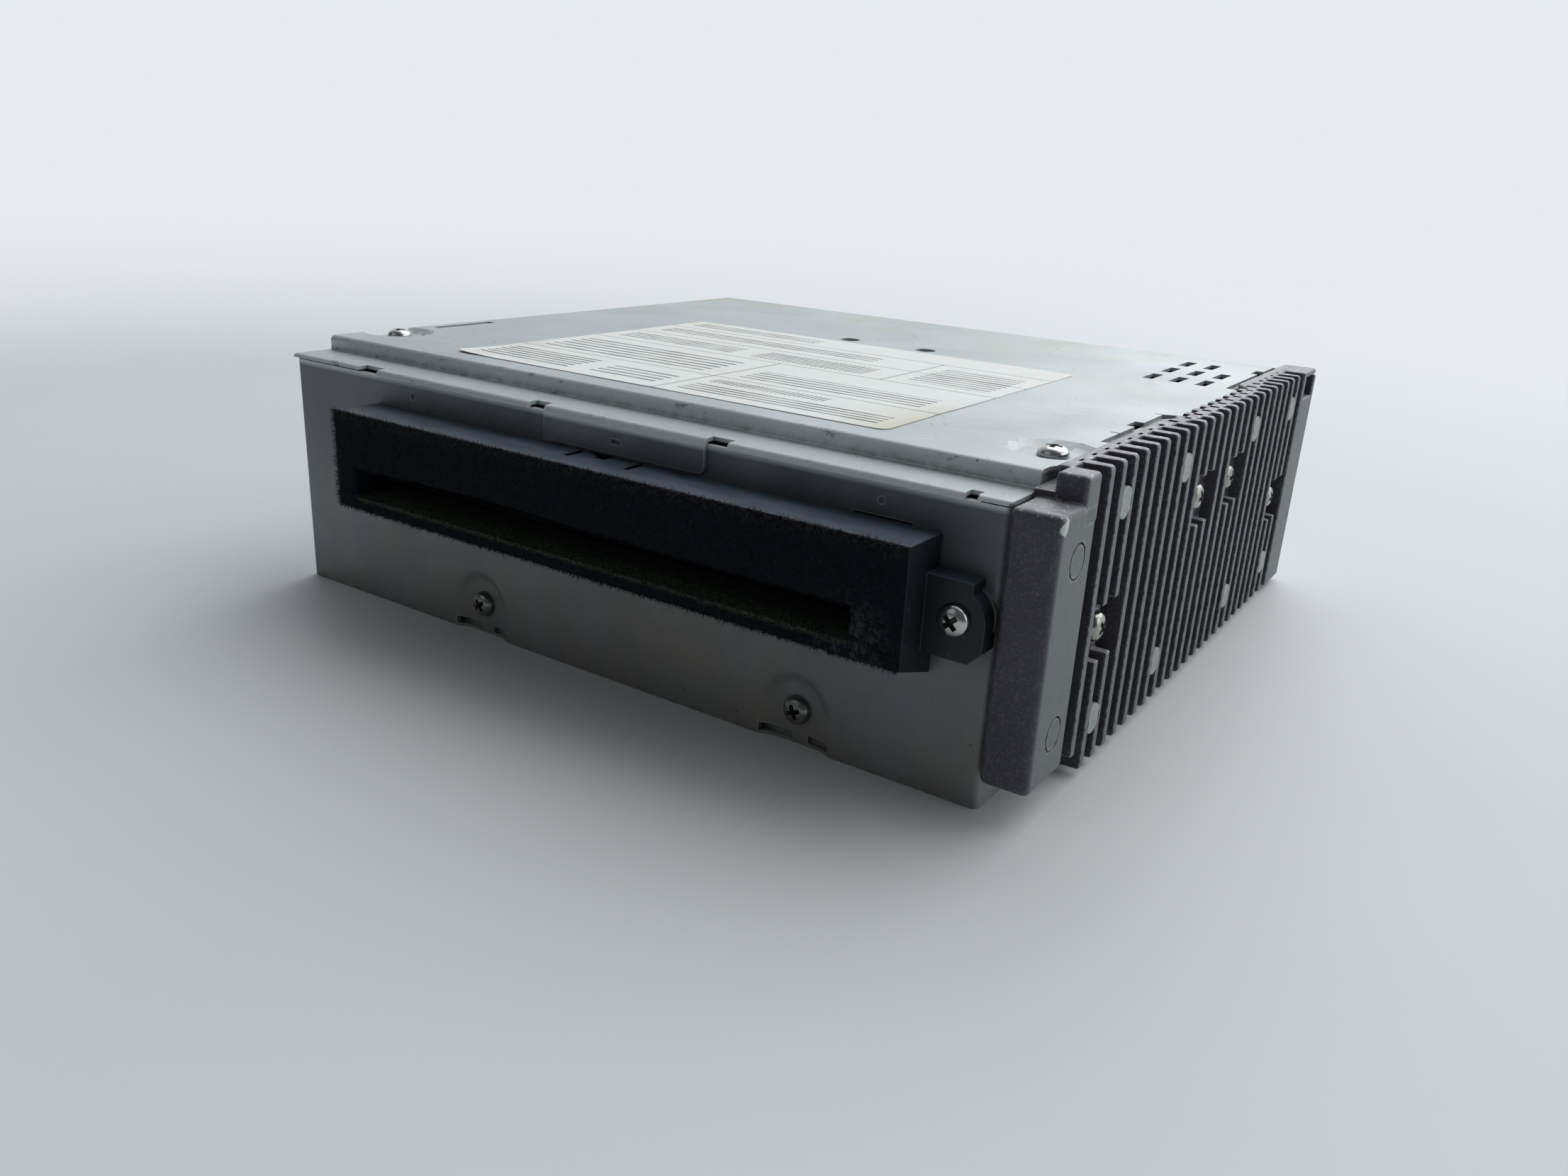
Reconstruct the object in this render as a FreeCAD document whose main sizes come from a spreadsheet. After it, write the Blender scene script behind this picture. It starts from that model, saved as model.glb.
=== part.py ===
# Car disc player of single dashboard height: a zinc-plated steel case with a die-cast heat sink on its
# right side, a felt-lined disc slot in front, and the electronics, loader and disc drive inside.
# Millimetres. Positions are written from the outer face of the left wall (x), the outer face of the
# front wall (y, into the case) and the underside (z). Every piece is then moved by the same amount, so
# that the origin of the whole lies under the middle of its box.
import FreeCAD, Part
import math
import os
import re

import Sketcher

doc = FreeCAD.newDocument("CarDiscPlayer")
sheet = doc.addObject("Spreadsheet::Sheet", "Sizes")
names = []
derived = {}
nodes = []


def add_sizes(values):
    for name, number in values.items():
        names.append(name)
        row = len(names)
        sheet.set("A%d" % row, name)
        sheet.set("B%d" % row, str(number))
        sheet.setAlias("B%d" % row, name)


# An expression in plain words, with each word turned into its cell or its own expression
def bound(text):
    def swap(match):
        word = match.group(0)
        if word in derived:
            return "(" + bound(derived[word]) + ")"
        return "Sizes." + word if word in names else word

    return re.sub(r"[a-z][a-z_0-9]*", swap, str(text))


def value(text):
    return float(sheet.evalExpression(bound(text)))


# The case
add_sizes({
    "case_width": 180,
    "case_depth": 168,
    "case_height": 57.5,
    "wall": 1,
    "cover_wall": 0.8,
    "bend": 1.5,
    "seam": 0.2,
    "ledge_drop": 3.3,
    "ledge_depth": 9.6,
    "cover_bend": 1.2,
    "rear_flange": 7,
    "hook_depth": 6,
    "hook_width": 10,
})
# The front edge of the cover: a short lip between four notches and one tall tab
add_sizes({
    "lip_drop": 1.2,
    "tab_drop": 6.7,
    "tab_left": 80.4,
    "tab_right": 120.5,
    "tab_round": 1.5,
    "notch_one": 23,
    "notch_one_width": 6.5,
    "notch_two": 76,
    "notch_two_width": 4.4,
    "notch_three": 120.5,
    "notch_three_width": 4.9,
    "notch_four": 172,
    "notch_four_width": 2.3,
    "tab_hole_x": 98,
    "tab_hole_drop": 4.7,
    "tab_hole_width": 2.5,
    "tab_hole_height": 0.9,
})
# What is pressed and pierced in the top of the cover
add_sizes({
    "reach_front": 0.8,
    "reach_middle": 2.4,
    "reach_from": 74.5,
    "reach_to": 120.5,
    "reach_slant": 1.5,
    "fold_front": 38.5,
    "fold_out": 0.75,
    "fold_round": 1.6,
    "fold_drop": 2.1,
    "fold_back": 2,
    "dimple_inset": 4.5,
    "dimple_y": 26,
    "dimple_radius": 8.3,
    "dimple_floor": 6.2,
    "dimple_depth": 1.2,
    "lug_reach": 12,
    "lug_width": 12,
    "vent_x": 159.7,
    "vent_y": 119,
    "vent_width": 2.6,
    "vent_length": 9,
    "vent_step": 6.3,
    "vent_row": 14.2,
    "port_radius": 2.75,
    "port_one_x": 81,
    "port_two_x": 104,
    "port_y": 113.5,
    "side_slot_x": 2.2,
    "side_slot_y": 38,
    "side_slot_width": 2.6,
    "side_slot_length": 19,
    "edge_notch": 2.6,
    "label_x": 35.5,
    "label_y": 16.5,
    "label_width": 112,
    "label_length": 91,
    "label_thick": 0.15,
})
# The disc slot and its throat
add_sizes({
    "slot_x": 97.3,
    "slot_width": 124.2,
    "slot_low": 29,
    "slot_high": 35,
    "throat_left": 28.7,
    "throat_width": 140,
    "throat_top": 46.8,
    "throat_low": 26.1,
    "throat_root": 22.3,
    "bezel_reach": 12,
    "bezel_wall": 2,
    "felt": 1,
    "tunnel_wall": 1.5,
    "tunnel_back": 2.5,
    "felt_back": 1,
    "window_margin": 4,
    "window_low": 25.2,
    "window_high": 44,
    "catch_x": 90.1,
    "catch_width": 16.5,
    "catch_slit": 1.4,
    "catch_depth": 5.6,
    "catch_hole": 2.8,
    "ear_low": 27.4,
    "ear_top": 41,
    "ear_step": 177,
    "ear_proud": 4.4,
    "ear_radius": 5.3,
    "ear_chamfer": 2.4,
    "ear_screw_x": 174.3,
    "ear_screw_z": 34.4,
    "emboss_radius": 5.5,
    "emboss_height": 0.8,
})
# The screwed pads at the foot of the front wall, and the small dimples near its top
add_sizes({
    "pad_left_x": 59.7,
    "pad_right_x": 142.5,
    "pad_screw_z": 6.9,
    "pad_radius": 5.1,
    "pad_blend": 3,
    "pad_depth": 1.2,
    "pad_notch_reach": 8,
    "pad_notch_gap": 2.5,
    "pad_notch_high": 2.3,
    "pad_notch_low": 0.6,
    "pad_tab": 0.8,
    "pip_left_x": 40.5,
    "pip_right_x": 157,
    "pip_drop": 7.7,
    "pip_radius": 0.7,
    "pip_depth": 0.4,
})
# The heat sink
add_sizes({
    "sink_reach": 9.2,
    "sink_gap": 0.3,
    "sink_base": 3.7,
    "sink_thick": 2.3,
    "sink_drop": 2.4,
    "sink_low": 1.5,
    "sink_nose_low": 6.2,
    "sink_nose_drop": 3.6,
    "sink_nose_proud": 2,
    "sink_nose_back": 12.8,
    "sink_slope_end": 22,
    "post_front": 7,
    "post_rise": 0.9,
    "post_inset": 3.6,
    "fin_first": 16.9,
    "fin_pitch": 5.79,
    "fin_tip": 1.8,
    "fin_root": 2.6,
    "fin_count": 24,
    "tail_length": 11,
    "tail_recess": 2.5,
    "tail_lip": 1.4,
    "tail_back": 3,
    "rail_inner": 2,
    "rail_outer": 4.3,
    "rail_step": 4.4,
    "rail_reach": 7,
    "rail_rear": 1.2,
    "rail_from": 65,
    "rail_to": 119,
    "rail_slant": 4.5,
    "tail_window": 5.5,
    "tail_bar": 1.4,
    "pip_pad_radius": 2.9,
    "pip_pad_drop": 4.6,
    "pip_pad_low": 10.4,
    "nose_pip_radius": 3.2,
    "nose_pip_y": 6.2,
    "nose_pip_high": 45,
    "nose_pip_low": 15,
    "boss_radius": 3.2,
    "boss_reach": 6.6,
    "sink_screw_low": 27.7,
    "sink_screw_high": 41.2,
    "relief_low": 5.2,
    "relief_high": 5.2,
    "heat_pad_front": 63,
    "heat_pad_back": 124,
    "heat_pad_low": 12,
    "heat_pad_high": 47,
})
# Screws and fits
add_sizes({
    "screw_radius": 1.5,
    "screw_head_radius": 2.8,
    "screw_head": 1.9,
    "fine_screw_radius": 1,
    "fine_head_radius": 2,
    "fine_head": 1.2,
    "cross_width": 0.9,
    "thread_play": 0.02,
    "shaft_play": 0.05,
    "screw_play": 0.2,
    "side_hole_radius": 2.5,
    "side_hole_front": 42,
    "side_hole_step": 80,
    "side_hole_low": 18,
    "side_hole_rise": 24,
})
# The pan, the rear wall and the electronics
add_sizes({
    "lip_height": 11,
    "side_lip": 7,
    "rear_screw_inset": 20,
    "rear_screw_z": 6,
    "stud_x": 99,
    "stud_z": 46,
    "stud_radius": 2.5,
    "nut_radius": 5.5,
    "nut_length": 6,
    "rear_vents": 8,
    "board_z": 7,
    "board_thick": 1.6,
    "board_inset": 4,
    "board_front": 6,
    "board_gap": 6,
    "pillar_radius": 3.2,
    "plug_reach": 7,
    "plug_left": 30,
    "plug_width": 62,
    "plug_height": 24,
    "plug_length": 21,
    "plug_wall": 2,
    "plug_depth": 11,
    "plug_split": 38,
    "plug_play": 0.3,
    "pin_size": 0.8,
    "pin_step": 5,
    "pin_count": 6,
    "pin_proud": 7,
    "pin_rows": 8,
    "aerial_x": 142,
    "aerial_step": 16,
    "aerial_z": 17.6,
    "aerial_radius": 5,
    "aerial_bore": 3.6,
    "aerial_depth": 9,
    "aerial_block": 13,
    "aerial_length": 14,
    "aerial_pin": 0.6,
    "capacitor_x": 13,
    "capacitor_y": 28,
    "capacitor_step": 19,
    "capacitor_count": 3,
    "capacitor_radius": 8,
    "capacitor_height": 26,
    "tuner_x": 5,
    "tuner_y": 92,
    "tuner_width": 18,
    "tuner_length": 52,
    "tuner_height": 15,
    "processor_x": 84,
    "processor_y": 24,
    "processor_size": 20,
    "processor_height": 1.6,
    "chip_thick": 4.8,
    "chip_width": 21,
    "chip_height": 22,
    "chip_z": 13,
    "chip_apart": 23.2,
    "clamp_thick": 1.5,
    "clamp_drop": 13,
    "clamp_boss": 3.4,
})
# The loader frame, which stands on four rubber dampers
add_sizes({
    "frame_width": 144,
    "frame_front": 4,
    "frame_back": 150,
    "frame_z": 17,
    "frame_gap": 2.9,
    "frame_step": 4,
    "frame_tall_back": 30,
    "frame_wall": 1,
    "frame_window_front": 62,
    "frame_window_back": 148.5,
    "frame_window_half": 23.3,
    "post_radius": 3,
    "damper_radius": 5.5,
    "damper_height": 4,
    "damper_half": 53,
    "damper_front": 30,
    "damper_back": 142,
})
# The disc that the drive is made for, its height when it plays, and where it turns
add_sizes({
    "disc_radius": 60,
    "play_z": 29.6,
    "spindle_y": 78,
})
# The disc drive
add_sizes({
    "bush_height": 3.5,
    "deck_thick": 2,
    "deck_front": 58,
    "deck_back": 148,
    "deck_half": 31,
    "deck_window_front": 90.5,
    "deck_window_half": 14,
    "bush_radius": 4,
    "bush_inset": 4,
    "motor_radius": 11,
    "motor_height": 5.5,
    "spindle_radius": 1,
    "table_radius": 13.5,
    "table_thick": 1.7,
    "table_neck": 4,
    "table_gap": 0.6,
    "cone_radius": 7.4,
    "cone_height": 1.6,
    "rod_x": 79.3,
    "screw_x": 115.3,
    "rod_rise": 2.5,
    "rod_radius": 1.5,
    "rod_front": 87,
    "holder_length": 3,
    "holder_half": 2.6,
    "sled_motor_radius": 5,
    "sled_motor_length": 12,
    "journal_radius": 1,
    "lens_inner": 24,
    "sled_half": 8.5,
    "sled_side": 12,
    "sled_drop": 2.5,
    "sled_rise": 2.7,
    "sled_ear": 9,
    "ear_wall": 1,
    "lens_plate": 9,
    "lens_gap": 0.8,
    "lens_plate_thick": 0.8,
    "lens_radius": 2.4,
    "lens_foot": 3.2,
    "lens_rise": 0.5,
})
# The clamp above the disc
add_sizes({
    "clamp_pivot_y": 140,
    "clamp_rise": 7,
    "clamp_pivot_drop": 1.5,
    "clamp_plate": 1,
    "clamp_arm_half": 15,
    "clamp_bar": 12,
    "clamp_side": 4.7,
    "clamp_flange_drop": 6.5,
    "clamp_pin_y": 110,
    "clamp_pin_drop": 3.5,
    "clamp_travel": 4.62,
    "clamper_radius": 14,
    "clamper_rise": 0.5,
    "clamper_thick": 3.5,
    "clamper_recess": 8.6,
    "clamper_recess_depth": 1.6,
    "stem_radius": 3.5,
    "stem_play": 0.4,
    "stem_cap": 5.5,
    "stem_cap_thick": 1.2,
    "pin_radius": 1.5,
})
# The upper guide and the disc feelers
add_sizes({
    "guide_rise": 1,
    "guide_thick": 1.5,
    "guide_front": 4.5,
    "guide_back": 128,
    "guide_side": 8.5,
    "guide_hole": 17.5,
    "runner_width": 3,
    "runner_drop": 2.4,
    "runner_front": 44,
    "tab_front": 50,
    "tab_rear": 84,
    "tab_length": 8,
    "feeler_x": 58.5,
    "feeler_pivot_x": 50,
    "feeler_y": 36,
    "feeler_pivot_y": 50,
    "feeler_radius": 1.1,
    "feeler_thick": 1,
    "feeler_low": 31,
    "feeler_slot": 6,
})
# The loading roller, its arm and its gears
add_sizes({
    "roller_y": 10,
    "roller_rise": 2.5,
    "roller_radius": 4,
    "roller_waist": 3.3,
    "roller_length": 122,
    "roller_shaft": 1.5,
    "roller_bush": 3,
    "arm_inset": 7.3,
    "arm_plate": 1,
    "arm_pivot_y": 40,
    "arm_rise": 6,
    "arm_pivot_boss": 3.4,
    "arm_bar_front": 16,
    "arm_bar_back": 22,
    "arm_bar_rise": 3.5,
    "arm_pin_y": 25,
    "arm_pin_radius": 1,
    "arm_travel": 6.7,
    "gear_module": 0.5,
    "gear_backlash": 0.2,
    "roller_teeth": 20,
    "small_teeth": 12,
    "large_teeth": 32,
    "pinion_teeth": 10,
    "gear_width": 2,
    "gear_gap": 0.5,
    "reduction_angle": 60,
    "pinion_angle": 10,
    "axle_radius": 1,
    "load_motor_radius": 7,
    "load_motor_length": 24,
    "load_shaft": 0.8,
    "bracket_reach": 3.2,
    "bracket_wall": 1,
    "bracket_half": 8,
})
# The mode slider on the left
add_sizes({
    "slider_inset": 2,
    "slider_wall": 1,
    "slider_rise": 3,
    "slider_height": 7.5,
    "slider_front": 12,
    "slider_back": 116,
    "slider_tower": 98,
    "slider_crest": 2,
    "slider_travel": 8,
    "slider_play": 0.35,
    "slider_pin_y": 90,
    "slider_pin_rise": 3.5,
    "slider_pin_radius": 1.25,
})
# The ribbon between the drive and the board
add_sizes({
    "ribbon_x": 94.5,
    "ribbon_width": 14,
    "ribbon_thick": 0.3,
    "ribbon_bow": 3,
    "ribbon_run": 6,
})

derived.update({
    "ledge_top": "case_height - ledge_drop",
    "ledge_under": "ledge_top - cover_wall",
    "wall_top": "case_height - cover_wall",
    "wall_end": "case_depth - cover_wall",
    "inner_round": "cover_bend - cover_wall",
    "rear_front": "wall_end - wall",
    "sink_inner": "case_width + sink_gap",
    "sink_face": "sink_inner + sink_base",
    "sink_outer": "case_width + sink_reach",
    "sink_crest": "case_height + post_rise",
    "sink_top": "case_height - sink_drop",
    "sink_nose_top": "case_height - sink_nose_drop",
    "tail_front": "case_depth - tail_length",
    "tail_high": "sink_crest - tail_bar",
    "tail_low": "tail_high - tail_window",
    "pip_pad_high": "sink_top - pip_pad_drop",
    "pip_z": "case_height - pip_drop",
    "tab_hole_z": "ledge_top - tab_hole_drop",
    "board_back": "case_depth - board_gap",
    "fin_middle": "fin_first + fin_tip / 2",
    "throat_right": "throat_left + throat_width",
    "slot_left": "slot_x - slot_width / 2",
    "slot_right": "slot_x + slot_width / 2",
    "tunnel_left": "slot_left - felt",
    "tunnel_right": "slot_right + felt",
    "tunnel_low": "slot_low - felt",
    "tunnel_high": "slot_high + felt",
    "lug_top": "wall_top - dimple_depth",
    "board_top": "board_z + board_thick",
    "tapped": "screw_radius + thread_play",
    "drilled": "screw_radius + screw_play",
    "fine_tapped": "fine_screw_radius + thread_play",
    "frame_left": "slot_x - frame_width / 2",
    "frame_right": "slot_x + frame_width / 2",
    "frame_inner_left": "frame_left + frame_wall",
    "frame_inner_right": "frame_right - frame_wall",
    "frame_floor": "frame_z + frame_wall",
    "frame_top": "ledge_under - frame_gap",
    "frame_low_top": "frame_top - frame_step",
    "deck_z": "frame_floor + bush_height",
    "deck_top": "deck_z + deck_thick",
    "rod_z": "deck_top + rod_rise",
    "sled_low": "deck_z - sled_drop",
    "sled_top": "deck_top + sled_rise",
    "lens_plate_z": "sled_top + lens_gap",
    "roller_z": "slot_low + roller_rise - roller_radius",
    "arm_pivot_z": "frame_floor + arm_rise",
    "arm_bar_z": "frame_floor + arm_bar_rise",
    "slider_low": "frame_floor + slider_rise",
    "slider_high": "slider_low + slider_height",
    "slider_pin_z": "slider_low + slider_pin_rise",
    "slider_top": "clamp_pin_z + slider_crest",
    "lens_y": "spindle_y + lens_inner",
    "arm_left": "frame_inner_left + arm_inset",
    "arm_right": "frame_inner_right - arm_inset",
    "arm_pin_z": "(roller_z + arm_pivot_z) / 2",
    "load_face": "arm_right - 2 * bracket_wall",
    "bracket_shelf": "load_face + bracket_reach",
    "guide_z": "slot_high + guide_rise",
    "guide_top": "guide_z + guide_thick",
    "clamper_z": "guide_z + clamper_rise",
    "clamp_plate_z": "guide_top + clamp_rise",
    "clamp_pivot_z": "clamp_plate_z - clamp_pivot_drop",
    "clamp_pin_z": "clamp_plate_z - clamp_pin_drop",
    "clamp_flange_low": "clamp_plate_z - clamp_flange_drop",
    "clamp_left": "frame_inner_left + clamp_side - clamp_plate",
    "clamp_right": "frame_inner_right - clamp_side",
    "clamp_top": "clamp_plate_z + clamp_plate",
    "slider_x": "frame_inner_left + slider_inset - slider_wall",
    "big_gear_x": "arm_right + arm_plate + gear_gap",
    "gear_x": "big_gear_x + gear_width + gear_gap",
    "transfer_z": "roller_z + gear_module * roller_teeth",
    "small_centres": "gear_module * (roller_teeth + small_teeth) / 2",
    "reduction_y": "roller_y + small_centres * cos(reduction_angle)",
    "reduction_z": "transfer_z + small_centres * sin(reduction_angle)",
    "large_centres": "gear_module * (large_teeth + pinion_teeth) / 2",
    "pinion_y": "reduction_y + large_centres * cos(pinion_angle)",
    "pinion_z": "reduction_z + large_centres * sin(pinion_angle)",
    "screw_line": "fin_middle + fin_pitch / 2",
    "chip_face": "case_width - wall",
    "shift_x": "-(case_width + sink_reach) / 2",
    "shift_y": "(bezel_reach - case_depth - plug_reach) / 2",
})
doc.recompute()

# Slots in each row of vents, and the small notches in the right edge of the cover: place and length
vent_columns = [3, 3, 2]
edge_notches = [("48.2", "0.6"), ("57", "5.5"), ("74", "0.5"), ("150", "6")]
# The rolled stretches of the same edge: place and length
edge_folds = [("38.5", "9.7"), ("48.8", "8.2"), ("62.5", "11.5"), ("121.5", "28.5"), ("156", "9")]
# Gaps between fins, counted from the front, that hold a screw or two round pads
sink_screws = [(1, "sink_screw_low"), (10, "sink_screw_high"), (14, "sink_screw_high"),
               (22, "sink_screw_low")]
pip_pad_gaps = [1, 7, 16, 22]
board_spots = [
    ("board_inset + 2 * pillar_radius", "board_front + pillar_radius"),
    ("case_width - board_inset - 2 * pillar_radius", "board_front + pillar_radius"),
    ("board_inset + 2 * pillar_radius", "board_back - pillar_radius"),
    ("case_width - board_inset - 2 * pillar_radius", "board_back - pillar_radius"),
    ("slot_x", "board_back / 3"),
]
damper_spots = [
    ("slot_x - damper_half", "damper_front"), ("slot_x + damper_half", "damper_front"),
    ("slot_x - damper_half", "damper_back"), ("slot_x + damper_half", "damper_back"),
]
bush_spots = [
    ("slot_x - deck_half + bush_inset", "deck_front + bush_inset"),
    ("slot_x + deck_half - bush_inset", "deck_front + bush_inset"),
    ("slot_x - deck_half + bush_inset", "deck_back - bush_inset"),
    ("slot_x + deck_half - bush_inset", "deck_back - bush_inset"),
]

along = {
    "x": FreeCAD.Rotation(FreeCAD.Vector(0, 1, 0), 90),
    "y": FreeCAD.Rotation(FreeCAD.Vector(1, 0, 0), -90),
    "z": FreeCAD.Rotation(),
    "-x": FreeCAD.Rotation(FreeCAD.Vector(0, 1, 0), -90),
    "-y": FreeCAD.Rotation(FreeCAD.Vector(1, 0, 0), 90),
}


# The placement of an object, bound to three expressions
def put(item, x, y, z, turn=None):
    if turn is not None:
        item.Placement = FreeCAD.Placement(FreeCAD.Vector(), turn)
    for letter, text in (("x", x), ("y", y), ("z", z)):
        item.setExpression("Placement.Base." + letter, bound(text))
    return item


def block(x_from, x_to, y_from, y_to, z_from, z_to):
    solid = doc.addObject("Part::Box", "Block")
    solid.setExpression("Length", bound("(%s) - (%s)" % (x_to, x_from)))
    solid.setExpression("Width", bound("(%s) - (%s)" % (y_to, y_from)))
    solid.setExpression("Height", bound("(%s) - (%s)" % (z_to, z_from)))
    return put(solid, x_from, y_from, z_from)


# A round bar from a point, towards one of the axes
def bar(axis, x, y, z, length, radius):
    solid = doc.addObject("Part::Cylinder", "Bar")
    solid.setExpression("Radius", bound(radius))
    solid.setExpression("Height", bound(length))
    return put(solid, x, y, z, along[axis])


def cone(axis, x, y, z, length, near_radius, far_radius):
    solid = doc.addObject("Part::Cone", "Cone")
    solid.setExpression("Radius1", bound(near_radius))
    solid.setExpression("Radius2", bound(far_radius))
    solid.setExpression("Height", bound(length))
    return put(solid, x, y, z, along[axis])


def join(parts):
    if len(parts) == 1:
        return parts[0]
    whole = doc.addObject("Part::MultiFuse", "Join")
    whole.Shapes = parts
    whole.Refine = True
    return whole


def cut(base, tools):
    whole = doc.addObject("Part::Cut", "Cut")
    whole.Base = base
    whole.Tool = join(tools)
    whole.Refine = True
    return whole


def group(parts):
    whole = doc.addObject("Part::Compound", "Group")
    whole.Links = parts
    return whole


# A finished piece: its name, and its place in the whole
def node(item, label, x="0", y="0", z="0", turn=None):
    if item.TypeId in ("Part::Box", "Part::Cylinder"):
        item = group([item])
    item.Label = label
    put(item, "shift_x + (%s)" % x, "shift_y + (%s)" % y, z, turn)
    nodes.append(item)
    return item


def new_body(name="Body"):
    return doc.addObject("PartDesign::Body", name)


def origin_part(body, role):
    return [item for item in body.Origin.OriginFeatures if item.Role == role][0]


# A sketch of closed outlines (lists of corners) and circles (tuples), each bound to the sheet
def sketch(body, role, offset, *outlines):
    drawing = body.newObject("Sketcher::SketchObject", "Sketch")
    drawing.AttachmentSupport = (origin_part(body, role), [""])
    drawing.MapMode = "FlatFace"
    drawing.setExpression("AttachmentOffset.Base.z", bound(offset))

    def pin(line, point, texts):
        for kind, text in zip(("DistanceX", "DistanceY"), texts):
            rule = Sketcher.Constraint(kind, -1, 1, line, point, value(text))
            index = drawing.addConstraint(rule)
            drawing.setExpression("Constraints[%d]" % index, bound(text))

    for outline in outlines:
        first = drawing.GeometryCount
        if isinstance(outline, tuple):
            x, y, radius = outline
            centre = FreeCAD.Vector(value(x), value(y), 0)
            drawing.addGeometry(Part.Circle(centre, FreeCAD.Vector(0, 0, 1), value(radius)), False)
            pin(first, 3, (x, y))
            index = drawing.addConstraint(Sketcher.Constraint("Radius", first, value(radius)))
            drawing.setExpression("Constraints[%d]" % index, bound(radius))
            continue
        corners = [FreeCAD.Vector(value(x), value(y), 0) for x, y in outline]
        count = len(corners)
        for i in range(count):
            drawing.addGeometry(Part.LineSegment(corners[i], corners[(i + 1) % count]), False)
        for i in range(count):
            end = first + (i + 1) % count
            drawing.addConstraint(Sketcher.Constraint("Coincident", first + i, 2, end, 1))
            pin(first + i, 1, outline[i])
    return drawing


def pad(body, drawing, length, back=False):
    feature = body.newObject("PartDesign::Pad", "Pad")
    feature.Profile = drawing
    feature.Reversed = back
    feature.setExpression("Length", bound(length))
    return feature


def pocket(body, drawing, length, back=False):
    doc.recompute()
    before = body.Shape.Volume
    feature = body.newObject("PartDesign::Pocket", "Pocket")
    feature.Profile = drawing
    feature.Reversed = back
    feature.setExpression("Length", bound(length))
    doc.recompute()
    if not body.Shape.Volume < before:
        raise RuntimeError("a pocket of " + body.Name + " cuts nothing")
    return feature


def revolve(body, drawing, axis="V_Axis"):
    feature = body.newObject("PartDesign::Revolution", "Revolution")
    feature.Profile = drawing
    feature.ReferenceAxis = (drawing, [axis])
    feature.Angle = 360
    return feature


# Rounds the straight edges of a feature that run along an axis through the given spots
def soften(body, feature, axis, spots, radius):
    doc.recompute()
    others = [letter for letter in "xyz" if letter != axis]
    wanted = [tuple(value(text) for text in spot) for spot in spots]
    picked = []
    for number, edge in enumerate(feature.Shape.Edges, 1):
        ends = edge.Vertexes[0].Point, edge.Vertexes[-1].Point
        if any(abs(getattr(ends[0], o) - getattr(ends[1], o)) > 1e-6 for o in others):
            continue
        place = [getattr(ends[0], o) for o in others]
        if any(math.dist(place, spot) < 0.01 for spot in wanted):
            picked.append("Edge%d" % number)
    if not picked:
        raise RuntimeError("no edge to round on " + body.Name)
    feature_round = body.newObject("PartDesign::Fillet", "Fillet")
    feature_round.Base = (feature, picked)
    feature_round.setExpression("Radius", bound(radius))
    return feature_round


# A pan-head screw with a cross recess, its head resting on z = 0 and its shank pointing down
def pan_screw(x, y, z, axis, length, fine=False):
    head = "fine_head" if fine else "screw_head"
    radius = "fine_head_radius" if fine else "screw_head_radius"
    shank = "fine_screw_radius" if fine else "screw_radius"
    body = new_body("Screw")
    profile = sketch(body, "XZ_Plane", "0", [
        ("0", "-(%s)" % length), ("%s * 0.7" % shank, "-(%s)" % length),
        (shank, "-(%s) + %s * 0.5" % (length, shank)), (shank, "0"), (radius, "0"),
        (radius, "%s * 0.4" % head), ("%s * 0.86" % radius, "%s * 0.78" % head),
        ("%s * 0.55" % radius, head), ("0", head),
    ])
    revolve(body, profile)
    half = "cross_width / 2"
    arm = "%s * 0.55" % radius
    cross = sketch(body, "XY_Plane", head, [
        ("-" + arm, "-" + half), ("-" + half, "-" + half), ("-" + half, "-" + arm),
        (half, "-" + arm), (half, "-" + half), (arm, "-" + half), (arm, half), (half, half),
        (half, arm), ("-" + half, arm), ("-" + half, half), ("-" + arm, half),
    ])
    pocket(body, cross, "%s * 0.6" % head)
    return put(body, x, y, z, along[axis])


# The angle of a gear that meshes with another, which lies at the given direction and is turned
def mesh_angle(direction, other_angle, other_teeth, teeth):
    step = 360 / other_teeth
    lead = (other_angle - direction + step / 2) % step - step / 2
    return direction + 180 - 180 / teeth - lead * other_teeth / teeth


# A spur gear on the x axis, with its first tooth turned by an angle from +y towards +z
def spur_gear(teeth, width, bore, turned, x="0"):
    pitch = "gear_module * %s / 2" % teeth
    root = "%s - gear_module * 1.2" % pitch
    half = "gear_module * 3.14159 / 4 - gear_backlash / 2"
    body = new_body("Gear")
    pad(body, sketch(body, "YZ_Plane", x, ("0", "0", root)), width)
    slope = "gear_module * tan(20)"
    tooth = sketch(body, "YZ_Plane", x, [
        ("%s - gear_module / 2" % root, "-(%s) - %s * 1.2" % (half, slope)),
        (root, "-(%s) - %s * 1.2" % (half, slope)),
        ("%s + gear_module" % pitch, "-(%s) + %s" % (half, slope)),
        ("%s + gear_module" % pitch, "%s - %s" % (half, slope)),
        (root, "%s + %s * 1.2" % (half, slope)),
        ("%s - gear_module / 2" % root, "%s + %s * 1.2" % (half, slope)),
    ])
    one = pad(body, tooth, width)
    ring = body.newObject("PartDesign::PolarPattern", "Teeth")
    ring.Originals = [one]
    ring.Axis = (origin_part(body, "X_Axis"), [""])
    ring.Angle = 360
    ring.setExpression("Occurrences", bound(teeth))
    body.Tip = ring
    pocket(body, sketch(body, "YZ_Plane", x, ("0", "0", bore)), width, True)
    body.Placement = FreeCAD.Placement(
        FreeCAD.Vector(), FreeCAD.Rotation(FreeCAD.Vector(1, 0, 0), turned))
    return body


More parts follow.
